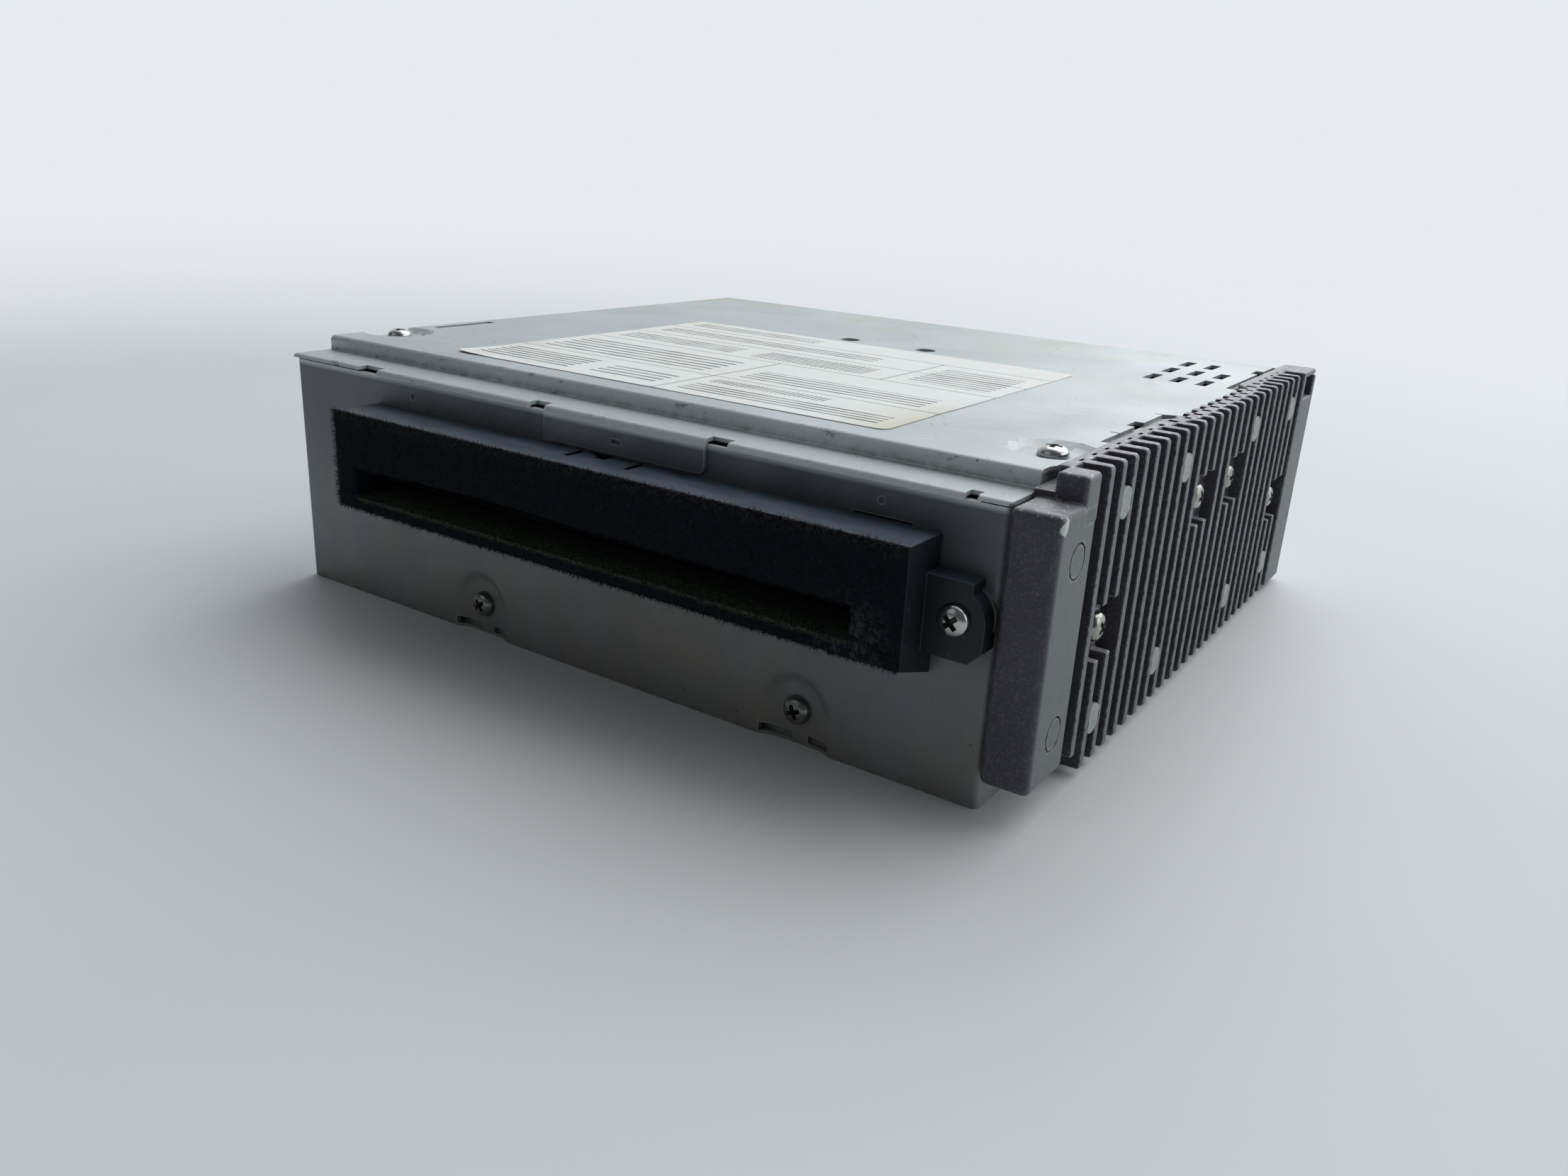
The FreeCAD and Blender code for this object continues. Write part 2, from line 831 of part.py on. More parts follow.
# Outer walls: front and both sides in one bent sheet
def case_walls():
    body = new_body("WallSheet")
    plan = sketch(body, "XY_Plane", "0", [
        ("0", "wall_end"), ("0", "0"), ("case_width", "0"), ("case_width", "wall_end"),
        ("case_width - wall", "wall_end"), ("case_width - wall", "wall"),
        ("wall", "wall"), ("wall", "wall_end"),
    ])
    sheet_pad = pad(body, plan, "wall_top")
    outer = soften(body, sheet_pad, "z", [("0", "0"), ("case_width", "0")], "bend")
    soften(body, outer, "z", [("wall", "wall"), ("case_width - wall", "wall")], "bend - wall")
    added = [body]
    taken = [
        block("-bend", "case_width + bend", "-bend", "ledge_depth + cover_wall + inner_round",
              "ledge_under - inner_round", "case_height"),
        block("-bend", "case_width + bend", "wall_end - inner_round", "case_depth",
              "wall_top - inner_round", "case_height"),
        block("throat_left + window_margin", "throat_right - window_margin", "-wall", "2 * wall",
              "window_low", "window_high"),
        block("case_width - 2 * wall", "case_width + wall", "heat_pad_front - seam",
              "heat_pad_back + seam", "heat_pad_low - seam", "heat_pad_high + seam"),
        bar("y", "ear_screw_x", "-2 * wall", "ear_screw_z", "4 * wall", "tapped"),
        bar("y", "ear_screw_x", "seam", "ear_screw_z", "wall", "emboss_radius - wall"),
        block("0", "case_width", "-wall", "2 * wall + pad_depth", "-2 * pad_radius", "0"),
    ]
    added.append(bar("y", "ear_screw_x", "-emboss_height", "ear_screw_z",
                     "emboss_height + seam", "emboss_radius"))
    for x_from, x_to in (("0", "lug_reach"), ("case_width - lug_reach", "case_width")):
        added.append(block(x_from, x_to, "dimple_y - lug_width / 2", "dimple_y + lug_width / 2",
                           "lug_top - wall", "lug_top"))
    lug_cut = "dimple_y - dimple_radius - 2 * seam", "dimple_y + dimple_radius + 2 * seam"
    taken += [
        block("-wall", "2 * wall", *lug_cut, "lug_top", "case_height"),
        block("case_width - 2 * wall", "case_width + wall", *lug_cut, "lug_top", "case_height"),
    ]
    for x in ("dimple_inset", "case_width - dimple_inset"):
        taken.append(bar("z", x, "dimple_y", "lug_top - 2 * wall", "3 * wall", "tapped"))
    for x in ("pad_left_x", "pad_right_x"):
        for y, parts in (("wall", added), ("0", taken)):
            parts.append(cone("y", x, y, "pad_screw_z", "pad_depth",
                              "pad_radius + pad_blend", "pad_radius"))
            foot = new_body("PadFoot")
            side = "pad_radius + pad_blend"
            pad(foot, sketch(foot, "XY_Plane", "0", [
                ("%s - (%s)" % (x, side), y), ("%s + %s" % (x, side), y),
                ("%s + pad_radius" % x, "%s + pad_depth" % y),
                ("%s - pad_radius" % x, "%s + pad_depth" % y),
            ]), "pad_screw_z")
            parts.append(foot)
        taken += [
            bar("y", x, "-wall", "pad_screw_z", "4 * wall", "drilled"),
            block("%s - pad_notch_reach" % x, "%s - pad_tab" % x, "-wall", "4 * wall",
                  "pad_notch_low", "pad_notch_high"),
            block("%s + pad_notch_gap" % x, "%s + pad_notch_reach - pad_tab" % x, "-wall",
                  "4 * wall", "pad_notch_low", "pad_notch_high"),
        ]
    for x in ("pip_left_x", "pip_right_x"):
        taken.append(bar("y", x, "0", "pip_z", "pip_depth", "pip_radius"))
    for k, z in sink_screws:
        if z == "sink_screw_low":
            taken.append(bar("x", "case_width - 2 * wall", "screw_line + %d * fin_pitch" % k, z,
                             "3 * wall", "tapped"))
    for y in ("side_hole_front", "side_hole_front + side_hole_step"):
        for z in ("side_hole_low", "side_hole_low + side_hole_rise"):
            taken.append(bar("x", "-wall", y, z, "3 * wall", "side_hole_radius"))
    return cut(join(added), taken)


def top_cover():
    body = new_body("CoverSheet")
    profile = sketch(body, "YZ_Plane", "0", [
        ("-cover_wall", "ledge_top - tab_drop"), ("-cover_wall", "ledge_top"),
        ("ledge_depth", "ledge_top"), ("ledge_depth", "case_height"),
        ("case_depth", "case_height"), ("case_depth", "case_height - rear_flange"),
        ("wall_end", "case_height - rear_flange"), ("wall_end", "wall_top"),
        ("ledge_depth + cover_wall", "wall_top"), ("ledge_depth + cover_wall", "ledge_under"),
        ("0", "ledge_under"), ("0", "ledge_top - tab_drop"),
    ])
    strip = pad(body, profile, "case_width + reach_middle")
    crests = [("-cover_wall", "ledge_top"), ("ledge_depth", "case_height"),
              ("case_depth", "case_height"), ("ledge_depth + cover_wall", "ledge_under")]
    outer = soften(body, strip, "x", crests, "cover_bend")
    hollows = [("0", "ledge_under"), ("wall_end", "wall_top"),
               ("ledge_depth + cover_wall", "wall_top"), ("ledge_depth", "ledge_top")]
    soften(body, outer, "x", hollows, "inner_round")
    far = "case_width + 2 * reach_middle"
    edge = new_body("CoverEdge")
    front = "case_width + reach_front"
    middle = "case_width + reach_middle"
    fold_x = "case_width + fold_out - fold_round"
    pad(edge, sketch(edge, "XY_Plane", "0", [
        ("case_width + seam", "-bend"), ("case_width + seam", "sink_nose_back"),
        (front, "sink_nose_back + bend"), (front, "fold_front"), (fold_x, "fold_front"),
        (fold_x, "reach_from"), (middle, "reach_from + reach_slant"),
        (middle, "reach_to - reach_slant"), (fold_x, "reach_to"),
        (fold_x, "case_depth - fold_back"), ("case_width", "case_depth - fold_back"),
        ("case_width", "case_depth + bend"), (far, "case_depth + bend"), (far, "-bend"),
    ]), "2 * case_height")
    lip = "ledge_top - lip_drop"
    low = "ledge_top - 2 * tab_drop"
    corner_x = "tab_right - tab_round"
    corner_z = "ledge_top - tab_drop + tab_round"
    corner = cut(block(corner_x, "tab_right + seam", "-wall", "seam", low, corner_z),
                 [bar("y", corner_x, "-2 * wall", corner_z, "4 * wall", "tab_round")])
    lip_x = "case_width + seam - tab_round"
    lip_y = "tab_round - cover_wall"
    lip_corner = cut(block(lip_x, far, "-2 * wall", lip_y, low, "case_height - wall"),
                     [bar("z", lip_x, lip_y, low, "3 * tab_drop", "tab_round")])
    taken = [
        edge,
        corner,
        lip_corner,
        block("-wall", "tab_left", "-wall", "seam", low, lip),
        block("tab_right", far, "-wall", "seam", low, lip),
        block("-wall", "notch_one", "-wall", "seam", low, "ledge_under"),
        block("notch_four + notch_four_width", far, "-wall", "seam", low, "ledge_under"),
        block("tab_hole_x", "tab_hole_x + tab_hole_width", "-wall", "wall", "tab_hole_z",
              "tab_hole_z + tab_hole_height"),
        block("side_slot_x", "side_slot_x + side_slot_width", "side_slot_y",
              "side_slot_y + side_slot_length", "wall_top - wall", "case_height + wall"),
    ]
    for notch in ("notch_one", "notch_two", "notch_three", "notch_four"):
        taken.append(block(notch, "%s + %s_width" % (notch, notch), "-wall",
                           "cover_bend + cover_wall", low, "case_height - wall"))
    for row, columns in enumerate(vent_columns):
        for column in range(columns):
            x = "vent_x + %d * vent_step" % column
            y = "vent_y + %d * vent_row" % row
            taken.append(block(x, x + " + vent_width", y, y + " + vent_length",
                               "wall_top - wall", "case_height + wall"))
    for x in ("port_one_x", "port_two_x"):
        taken.append(bar("z", x, "port_y", "wall_top - wall", "3 * wall", "port_radius"))
    for y, length in edge_notches:
        taken.append(block("case_width - edge_notch", far, y, "%s + %s" % (y, length),
                           "wall_top - wall", "case_height + wall"))
    added = [body]
    for y, length in edge_folds:
        end = "%s + %s" % (y, length)
        roll = bar("y", fold_x, y, "case_height - fold_round", length, "fold_round")
        side = "case_width + seam / 4"
        added.append(cut(roll, [
            block("case_width - 3 * fold_round", far, y, end, "case_height - 3 * fold_round",
                  "case_height - fold_round"),
            block("case_width - 3 * fold_round", side, y, end, "case_height - 3 * fold_round",
                  "wall_top"),
        ]))
        added.append(block(side, "case_width + fold_out", y, end, "case_height - fold_drop",
                           "case_height - fold_round"))
    for x in ("dimple_inset", "case_width - dimple_inset"):
        added.append(cone("z", x, "dimple_y", "lug_top", "dimple_depth", "dimple_floor",
                          "dimple_radius"))
        taken.append(cone("z", x, "dimple_y", "lug_top + cover_wall", "dimple_depth",
                          "dimple_floor", "dimple_radius"))
        taken.append(bar("z", x, "dimple_y", "lug_top - wall", "3 * wall", "drilled"))
    trim = block("-case_width", "0", "0", "case_depth", "0", "2 * case_height")
    for share in (2, 4):
        middle_y = "case_depth * %d / 6" % share
        added.append(block("wall", "wall + cover_wall", middle_y + " - hook_width / 2",
                           middle_y + " + hook_width / 2", "wall_top - hook_depth",
                           "wall_top + cover_wall / 2"))
    return cut(join(added), taken + [trim])


def bottom_pan():
    inner = "wall + pad_depth"
    added = [
        block("wall", "case_width - wall", inner, "wall_end", "0", "wall"),
        block("3 * wall", "case_width - 3 * wall", inner, "2 * wall + pad_depth", "0",
              "lip_height"),
        block("3 * wall", "case_width - 3 * wall", "rear_front - wall", "rear_front", "0",
              "lip_height"),
        block("wall", "2 * wall", "3 * wall + pad_depth", "rear_front - 2 * wall", "0",
              "side_lip"),
        block("case_width - 2 * wall", "case_width - wall", "3 * wall + pad_depth",
              "rear_front - 2 * wall", "0", "side_lip"),
    ]
    taken = []
    for x in ("pad_left_x", "pad_right_x"):
        taken.append(bar("y", x, "0", "pad_screw_z", "6 * wall", "tapped"))
    for x in ("rear_screw_inset", "case_width - rear_screw_inset"):
        taken.append(bar("y", x, "rear_front - 3 * wall", "rear_screw_z", "6 * wall", "tapped"))
    taken.append(block("plug_left - plug_play", "plug_left + plug_width + plug_play",
                       "rear_front - 2 * wall", "rear_front + wall / 2", "board_z",
                       "2 * lip_height"))
    taken.append(block("aerial_x - aerial_block", "aerial_x + aerial_step + aerial_block",
                       "rear_front - 2 * wall", "rear_front + wall / 2", "board_z",
                       "2 * lip_height"))
    for x, y in board_spots:
        added.append(bar("z", x, y, "0", "board_z", "pillar_radius"))
        taken.append(bar("z", x, y, "wall", "board_z", "fine_tapped"))
    return cut(join(added), taken)


def rear_plate():
    plate = block("wall", "case_width - wall", "rear_front", "wall_end", "wall",
                  "wall_top - inner_round")
    nut = bar("-y", "stud_x", "rear_front + wall / 2", "stud_z", "nut_length", "nut_radius")
    taken = [
        block("plug_left - plug_play", "plug_left + plug_width + plug_play", "rear_front - wall",
              "wall_end + wall", "0", "board_top + plug_height + plug_play"),
        bar("-y", "stud_x", "wall_end + wall", "stud_z", "nut_length + 3 * wall",
            "stud_radius"),
    ]
    for share in (0, 1):
        x = "aerial_x + %d * aerial_step" % share
        taken.append(bar("y", x, "rear_front - wall", "aerial_z", "3 * wall",
                         "aerial_radius + plug_play"))
    for x in ("rear_screw_inset", "case_width - rear_screw_inset"):
        taken.append(bar("y", x, "rear_front - wall", "rear_screw_z", "3 * wall", "drilled"))
    for number in range(round(value("rear_vents"))):
        x = "stud_x + nut_radius + %d * vent_step" % (number + 1)
        taken.append(block(x, x + " + vent_width", "rear_front - wall", "wall_end + wall",
                           "stud_z - vent_length", "stud_z"))
    return cut(join([plate, nut]), taken)


def heat_sink():
    body = new_body("SinkCasting")
    side = sketch(body, "YZ_Plane", "sink_inner", [
        ("post_front", "sink_nose_low"), ("sink_nose_back", "sink_nose_low"),
        ("sink_slope_end", "sink_low"), ("case_depth", "sink_low"), ("case_depth", "sink_top"),
        ("post_front", "sink_top"),
    ])
    pad(body, side, "sink_base")
    plan = sketch(body, "XY_Plane", "sink_low", [
        ("sink_face - wall", "fin_middle - fin_root / 2"),
        ("sink_outer", "fin_middle - fin_tip / 2"),
        ("sink_outer", "fin_middle + fin_tip / 2"),
        ("sink_face - wall", "fin_middle + fin_root / 2"),
    ])
    fin = pad(body, plan, "sink_crest - sink_low")
    row = body.newObject("PartDesign::LinearPattern", "Fins")
    row.Originals = [fin]
    row.Direction = (origin_part(body, "Y_Axis"), [""])
    row.setExpression("Length", bound("fin_pitch * (fin_count - 1)"))
    row.setExpression("Occurrences", bound("fin_count"))
    body.Tip = row
    added = [
        block("sink_inner", "sink_outer", "-sink_nose_proud", "sink_nose_back", "sink_nose_low",
              "sink_nose_top"),
        block("case_width + post_inset", "sink_outer", "post_front", "sink_nose_back",
              "sink_nose_low", "sink_crest"),
        block("sink_inner", "sink_face + sink_thick", "heat_pad_front", "heat_pad_back",
              "heat_pad_low", "heat_pad_high"),
        block("case_width - wall", "sink_face", "heat_pad_front", "heat_pad_back",
              "heat_pad_low", "heat_pad_high"),
        block("sink_face - wall", "sink_outer", "tail_front", "case_depth + tail_lip", "sink_low",
              "sink_crest"),
    ]
    taken = [
        block("sink_face + sink_thick", "sink_outer + wall", "tail_front + tail_recess",
              "case_depth + tail_lip + wall", "tail_low", "tail_high"),
        block("sink_face", "sink_outer + wall", "sink_nose_back", "fin_first + 2 * fin_tip", "0",
              "sink_nose_low"),
        block("sink_inner", "sink_face", "sink_nose_back", "case_depth + wall", "sink_top",
              "2 * case_height"),
    ]
    for k in pip_pad_gaps:
        for z in ("pip_pad_high", "pip_pad_low"):
            added.append(bar("x", "sink_inner", "screw_line + %d * fin_pitch" % k, z,
                             "sink_reach - sink_gap", "pip_pad_radius"))
    rail = new_body("SinkRail")
    inner = "case_width + rail_inner"
    outer = "case_width + rail_outer"
    step = "case_width + rail_step"
    reach = "case_width + rail_reach"
    rear = "case_width + rail_rear"
    pad(rail, sketch(rail, "XY_Plane", "sink_top - wall", [
        (inner, "sink_nose_back - wall"), (inner, "rail_from"),
        (step, "rail_from + rail_slant"), (step, "rail_to"), (rear, "rail_to + rail_slant"),
        (rear, "tail_front + wall"), (outer, "tail_front + wall"),
        (outer, "rail_to + 4 * rail_slant"), (reach, "rail_to - rail_slant"),
        (reach, "rail_from + 2 * rail_slant"), (outer, "rail_from - 2 * rail_slant"),
        (outer, "sink_nose_back - wall"),
    ]), "sink_crest - sink_top + wall")
    end = block("sink_face + sink_thick - wall", "sink_outer", "case_depth + tail_lip",
                "case_depth + tail_back", "sink_low", "tail_high - seam")
    lid = block(rear, "sink_face", "tail_front", "case_depth + tail_lip", "sink_top - wall",
                "sink_crest")
    whole = join([cut(join([body] + added), taken), rail, end, lid])
    bosses = []
    openings = []
    holes = []
    for k, z in sink_screws:
        y = "screw_line + %d * fin_pitch" % k
        reach = "fin_pitch / 2 + fin_root / 2 + seam"
        openings.append(block("sink_face + sink_thick", "sink_outer + wall",
                              "%s - (%s)" % (y, reach), "%s + %s" % (y, reach),
                              z + " - relief_low", z + " + relief_high"))
        bosses.append(bar("x", "sink_inner", y, z, "boss_reach - sink_gap", "boss_radius"))
        holes.append(bar("x", "case_width - 2 * wall", y, z, "2 * sink_reach", "drilled"))
    for z in ("nose_pip_high", "nose_pip_low"):
        holes.append(bar("x", "sink_outer - seam", "nose_pip_y", z, "sink_reach",
                         "nose_pip_radius"))
    return cut(join([cut(whole, openings)] + bosses), holes)


# The plastic throat that stands out of the front wall, with its screwed ear
def slot_bezel():
    body = new_body("Throat")
    front = "felt - bezel_reach"
    slope = "(throat_low - throat_root) / bezel_reach"
    profile = sketch(body, "YZ_Plane", "throat_left", [
        (front, "throat_low - felt * " + slope), (front, "throat_top"), ("0", "throat_top"),
        ("0", "throat_root"),
    ])
    pad(body, profile, "throat_width")
    left = "tunnel_left - tunnel_wall"
    right = "tunnel_right + tunnel_wall"
    added = [
        body,
        block(left, right, front, "tunnel_back", "tunnel_low - tunnel_wall",
              "tunnel_high + tunnel_wall"),
        block("throat_right - bezel_wall", "ear_step", "-ear_proud", "0", "ear_low", "ear_top"),
        bar("-y", "ear_screw_x", "0", "ear_screw_z", "ear_proud", "ear_radius"),
    ]
    corner = new_body("EarCorner")
    reach = "ear_screw_x + ear_radius"
    pad(corner, sketch(corner, "XZ_Plane", "0", [
        ("throat_right", "ear_low"), (reach + " - ear_chamfer", "ear_low"),
        (reach, "ear_low + ear_chamfer"), (reach, "ear_screw_z"), ("throat_right", "ear_screw_z"),
    ]), "ear_proud")
    added.append(corner)
    catch_end = "catch_x + catch_width"
    hollow = "tunnel_high + tunnel_wall", "throat_top - bezel_wall"
    taken = [
        block("tunnel_left", "tunnel_right", "-2 * bezel_reach", "bezel_reach", "tunnel_low",
              "tunnel_high"),
        block("throat_left + bezel_wall", "throat_right - bezel_wall",
              front + " + bezel_wall", "wall / 2", *hollow),
        block("catch_x", "catch_x + catch_slit", "-catch_depth", "wall", hollow[1] + " - wall",
              "throat_top + wall"),
        block(catch_end + " - catch_slit", catch_end, "-catch_depth", "wall",
              hollow[1] + " - wall", "throat_top + wall"),
        block("catch_x + catch_width / 2 - catch_hole", "catch_x + catch_width / 2",
              "-catch_hole - seam", "-seam", hollow[1] + " - wall", "throat_top + wall"),
        bar("-y", "ear_screw_x", "bezel_wall", "ear_screw_z", "3 * ear_proud", "drilled"),
        bar("-y", "ear_screw_x", "wall", "ear_screw_z", "wall + emboss_height + seam / 2",
            "emboss_radius + seam / 2"),
    ]
    return cut(join(added), taken)


# Felt on the face of the throat and round the inside of the slot
def slot_felt():
    body = new_body("FeltFace")
    slope = "(throat_low - throat_root) / bezel_reach"
    pad(body, sketch(body, "YZ_Plane", "throat_left", [
        ("-bezel_reach", "throat_low"), ("-bezel_reach", "throat_top"),
        ("felt - bezel_reach", "throat_top"), ("felt - bezel_reach", "throat_low - felt * " + slope),
    ]), "throat_width")
    sleeve = block("tunnel_left", "tunnel_right", "felt / 2 - bezel_reach", "felt_back",
                   "tunnel_low", "tunnel_high")
    hole = block("slot_left", "slot_right", "-2 * bezel_reach", "bezel_reach", "slot_low",
                 "slot_high")
    return cut(join([body, sleeve]), [hole])


def product_label():
    return block("label_x", "label_x + label_width", "label_y", "label_y + label_length",
                 "case_height", "case_height + label_thick")


def main_board():
    board = block("board_inset", "case_width - wall - chip_thick / 3", "board_front",
                  "board_back", "board_z", "board_top")
    taken = [bar("z", x, y, "board_z - wall", "3 * wall + board_thick",
                 "fine_screw_radius + screw_play") for x, y in board_spots]
    taken += [bar("z", x, y, "board_z - wall", "3 * wall + board_thick",
                  "post_radius + 4 * screw_play") for x, y in damper_spots]
    return cut(board, taken)


def capacitors():
    cans = []
    for number in range(round(value("capacitor_count"))):
        y = "capacitor_y + %d * capacitor_step" % number
        can = bar("z", "capacitor_x", y, "board_top", "capacitor_height", "capacitor_radius")
        groove = doc.addObject("Part::Torus", "Groove")
        groove.setExpression("Radius1", bound("capacitor_radius"))
        groove.setExpression("Radius2", bound("wall / 2"))
        put(groove, "capacitor_x", y, "board_top + 3 * wall")
        cans.append(cut(can, [groove]))
    return group(cans)


def amplifier_chips():
    chips = []
    middle = "(heat_pad_front + heat_pad_back) / 2"
    for side in ("-", "+"):
        y = "%s %s chip_apart / 2" % (middle, side)
        case = block("chip_face - chip_thick", "chip_face", y + " - chip_width / 2",
                     y + " + chip_width / 2", "chip_z", "chip_z + chip_height")
        pins = [case]
        for k in range(5):
            pin_y = "%s + (%d - 2) * chip_width / 6" % (y, k)
            pins.append(block("chip_face - chip_thick / 2 - pin_size / 2",
                              "chip_face - chip_thick / 2 + pin_size / 2",
                              pin_y + " - pin_size / 2", pin_y + " + pin_size / 2", "board_top",
                              "chip_z + wall"))
        chips.append(join(pins))
    return group(chips)


# A steel bar that presses both chips against the heat sink
def chip_clamp():
    inner = "chip_face - chip_thick"
    first = "screw_line + 10 * fin_pitch"
    last = "screw_line + 14 * fin_pitch"
    plate = block(inner + " - clamp_thick", inner, first + " - 10 * wall", last + " + 10 * wall",
                  "sink_screw_high - clamp_drop", "sink_screw_high + clamp_boss")
    cups = [bar("x", inner, y, "sink_screw_high", "chip_thick", "clamp_boss")
            for y in (first, last)]
    holes = [bar("x", inner + " - 2 * clamp_thick", y, "sink_screw_high",
                 "chip_thick + 3 * clamp_thick", "tapped") for y in (first, last)]
    return cut(join([plate] + cups), holes)


def power_connector():
    back = "case_depth + plug_reach"
    shell = block("plug_left", "plug_left + plug_width", back + " - plug_length", back,
                  "board_top", "board_top + plug_height")
    split = "plug_left + plug_split"
    taken = []
    for x_from, x_to in (("plug_left + plug_wall", split),
                         (split + " + plug_wall", "plug_left + plug_width - plug_wall")):
        taken.append(block(x_from, x_to, back + " - plug_depth", back + " + wall",
                           "board_top + plug_wall", "board_top + plug_height - plug_wall"))
    return cut(shell, taken)


def connector_pins():
    pins = []
    seat = "case_depth + plug_reach - plug_depth"
    for row in (1, 2):
        z = "board_top + plug_height * %d / 3" % row
        for number in range(round(value("pin_rows"))):
            if number == round(value("pin_count")):
                continue
            x = "plug_left + plug_wall + pin_step * (%d + 1)" % number
            pins.append(block(x + " - pin_size / 2", x + " + pin_size / 2", seat,
                              seat + " + pin_proud", z + " - pin_size / 2",
                              z + " + pin_size / 2"))
    return group(pins)


def aerial_sockets():
    back = "case_depth + plug_reach"
    base = block("aerial_x - aerial_block / 2", "aerial_x + aerial_step + aerial_block / 2",
                 "rear_front - wall - aerial_length", "rear_front - wall", "board_top",
                 "aerial_z + aerial_block / 2")
    added = [base]
    taken = []
    pins = []
    for share in (0, 1):
        x = "aerial_x + %d * aerial_step" % share
        added.append(bar("y", x, "rear_front - 2 * wall", "aerial_z",
                         back + " - rear_front + 2 * wall", "aerial_radius"))
        taken.append(bar("y", x, back + " - aerial_depth", "aerial_z", "2 * aerial_depth",
                         "aerial_bore"))
        pins.append(bar("y", x, back + " - aerial_depth - wall", "aerial_z",
                        "aerial_depth - wall", "aerial_pin"))
    return join([cut(join(added), taken)] + pins)


# The loader's floor and side walls in one bent sheet
def loader_frame():
    body = new_body("FrameSheet")
    section = sketch(body, "XZ_Plane", "-frame_back", [
        ("frame_left", "frame_z"), ("frame_right", "frame_z"), ("frame_right", "frame_top"),
        ("frame_inner_right", "frame_top"), ("frame_inner_right", "frame_floor"),
        ("frame_inner_left", "frame_floor"), ("frame_inner_left", "frame_top"),
        ("frame_left", "frame_top"),
    ])
    strip = pad(body, section, "frame_back - frame_front")
    soften(body, strip, "y", [("frame_left", "frame_z"), ("frame_right", "frame_z")],
           "frame_wall")
    taken = [
        block("frame_left - wall", "frame_right + wall", "frame_tall_back", "frame_back + wall",
              "frame_low_top", "frame_top + wall"),
        block("slot_x - frame_window_half", "slot_x + frame_window_half", "frame_window_front",
              "frame_window_back", "frame_z - wall", "frame_floor + wall"),
    ]
    for x, y in damper_spots:
        taken.append(bar("z", x, y, "frame_z - wall", "3 * wall", "fine_screw_radius + screw_play"))
    for x, y in bush_spots:
        taken.append(bar("z", x, y, "frame_z - wall", "3 * wall", "fine_tapped"))
    for side, x in (("left", "frame_left - wall"), ("right", "frame_inner_right - wall")):
        taken.append(bar("x", x, "arm_pivot_y", "arm_pivot_z", "3 * wall",
                         "pin_radius + thread_play"))
        taken.append(bar("x", x, "clamp_pivot_y", "clamp_pivot_z", "3 * wall",
                         "pin_radius + thread_play"))
    taken.append(bar("x", "frame_left - wall", "slider_pin_y", "slider_pin_z", "3 * wall",
                     "slider_pin_radius + thread_play"))
    for y in ("tab_front", "tab_rear"):
        taken.append(block("frame_left - wall", "frame_right + wall", y + " - thread_play",
                           y + " + tab_length + thread_play", "guide_z - thread_play",
                           "guide_top + thread_play"))
    for y, z in (("roller_y", "transfer_z"), ("reduction_y", "reduction_z")):
        taken.append(bar("x", "frame_inner_right - wall", y, z, "3 * wall",
                         "axle_radius + thread_play"))
    return cut(body, taken)


def damper_posts():
    posts = []
    for x, y in damper_spots:
        height = "frame_z - damper_height"
        post = bar("z", x, y, "wall", height + " - wall", "post_radius")
        posts.append(cut(post, [bar("z", x, y, height + " - 5 * wall", "6 * wall",
                                    "fine_tapped")]))
    return group(posts)


def rubber_ring(x, y, z, height, radius):
    body = new_body("Rubber")
    hole = "fine_screw_radius + screw_play"
    pinch = "%s - wall" % radius
    revolve(body, sketch(body, "XZ_Plane", "0", [
        (hole, "0"), (radius, "0"), (radius, "(%s) / 3" % height), (pinch, "(%s) / 2" % height),
        (radius, "(%s) * 2 / 3" % height), (radius, height), (hole, height),
    ]))
    return put(body, x, y, z)


def upper_guide():
    left = "frame_inner_left + guide_side"
    right = "frame_inner_right - guide_side"
    added = [block(left, right, "guide_front", "guide_back", "guide_z", "guide_top")]
    for y in ("tab_front", "tab_rear"):
        added.append(block("frame_left", "frame_right", y, y + " + tab_length", "guide_z",
                           "guide_top"))
    added.append(block(right + " - wall", "bracket_shelf", "pinion_y - bracket_half",
                       "pinion_y + bracket_half", "guide_z", "guide_top"))
    for x in ("slot_x - disc_radius - runner_width / 2", "slot_x + disc_radius - runner_width / 2"):
        added.append(block(x, x + " + runner_width", "runner_front", "guide_back",
                           "guide_z - runner_drop", "guide_z + guide_thick / 2"))
    taken = [bar("z", "slot_x", "spindle_y", "guide_z - wall", "guide_thick + 2 * wall",
                 "guide_hole")]
    for sign in ("-", "+"):
        x = "slot_x %s feeler_x" % sign
        taken.append(block("%s - feeler_slot" % x, "%s + feeler_slot" % x,
                           "feeler_y - 4 * feeler_radius", "feeler_y + 4 * feeler_radius",
                           "guide_z - wall", "guide_top + wall"))
        taken.append(bar("z", "slot_x %s feeler_pivot_x" % sign, "feeler_pivot_y",
                         "guide_z - wall", "guide_thick + 2 * wall", "fine_tapped"))
    return cut(join(added), taken)


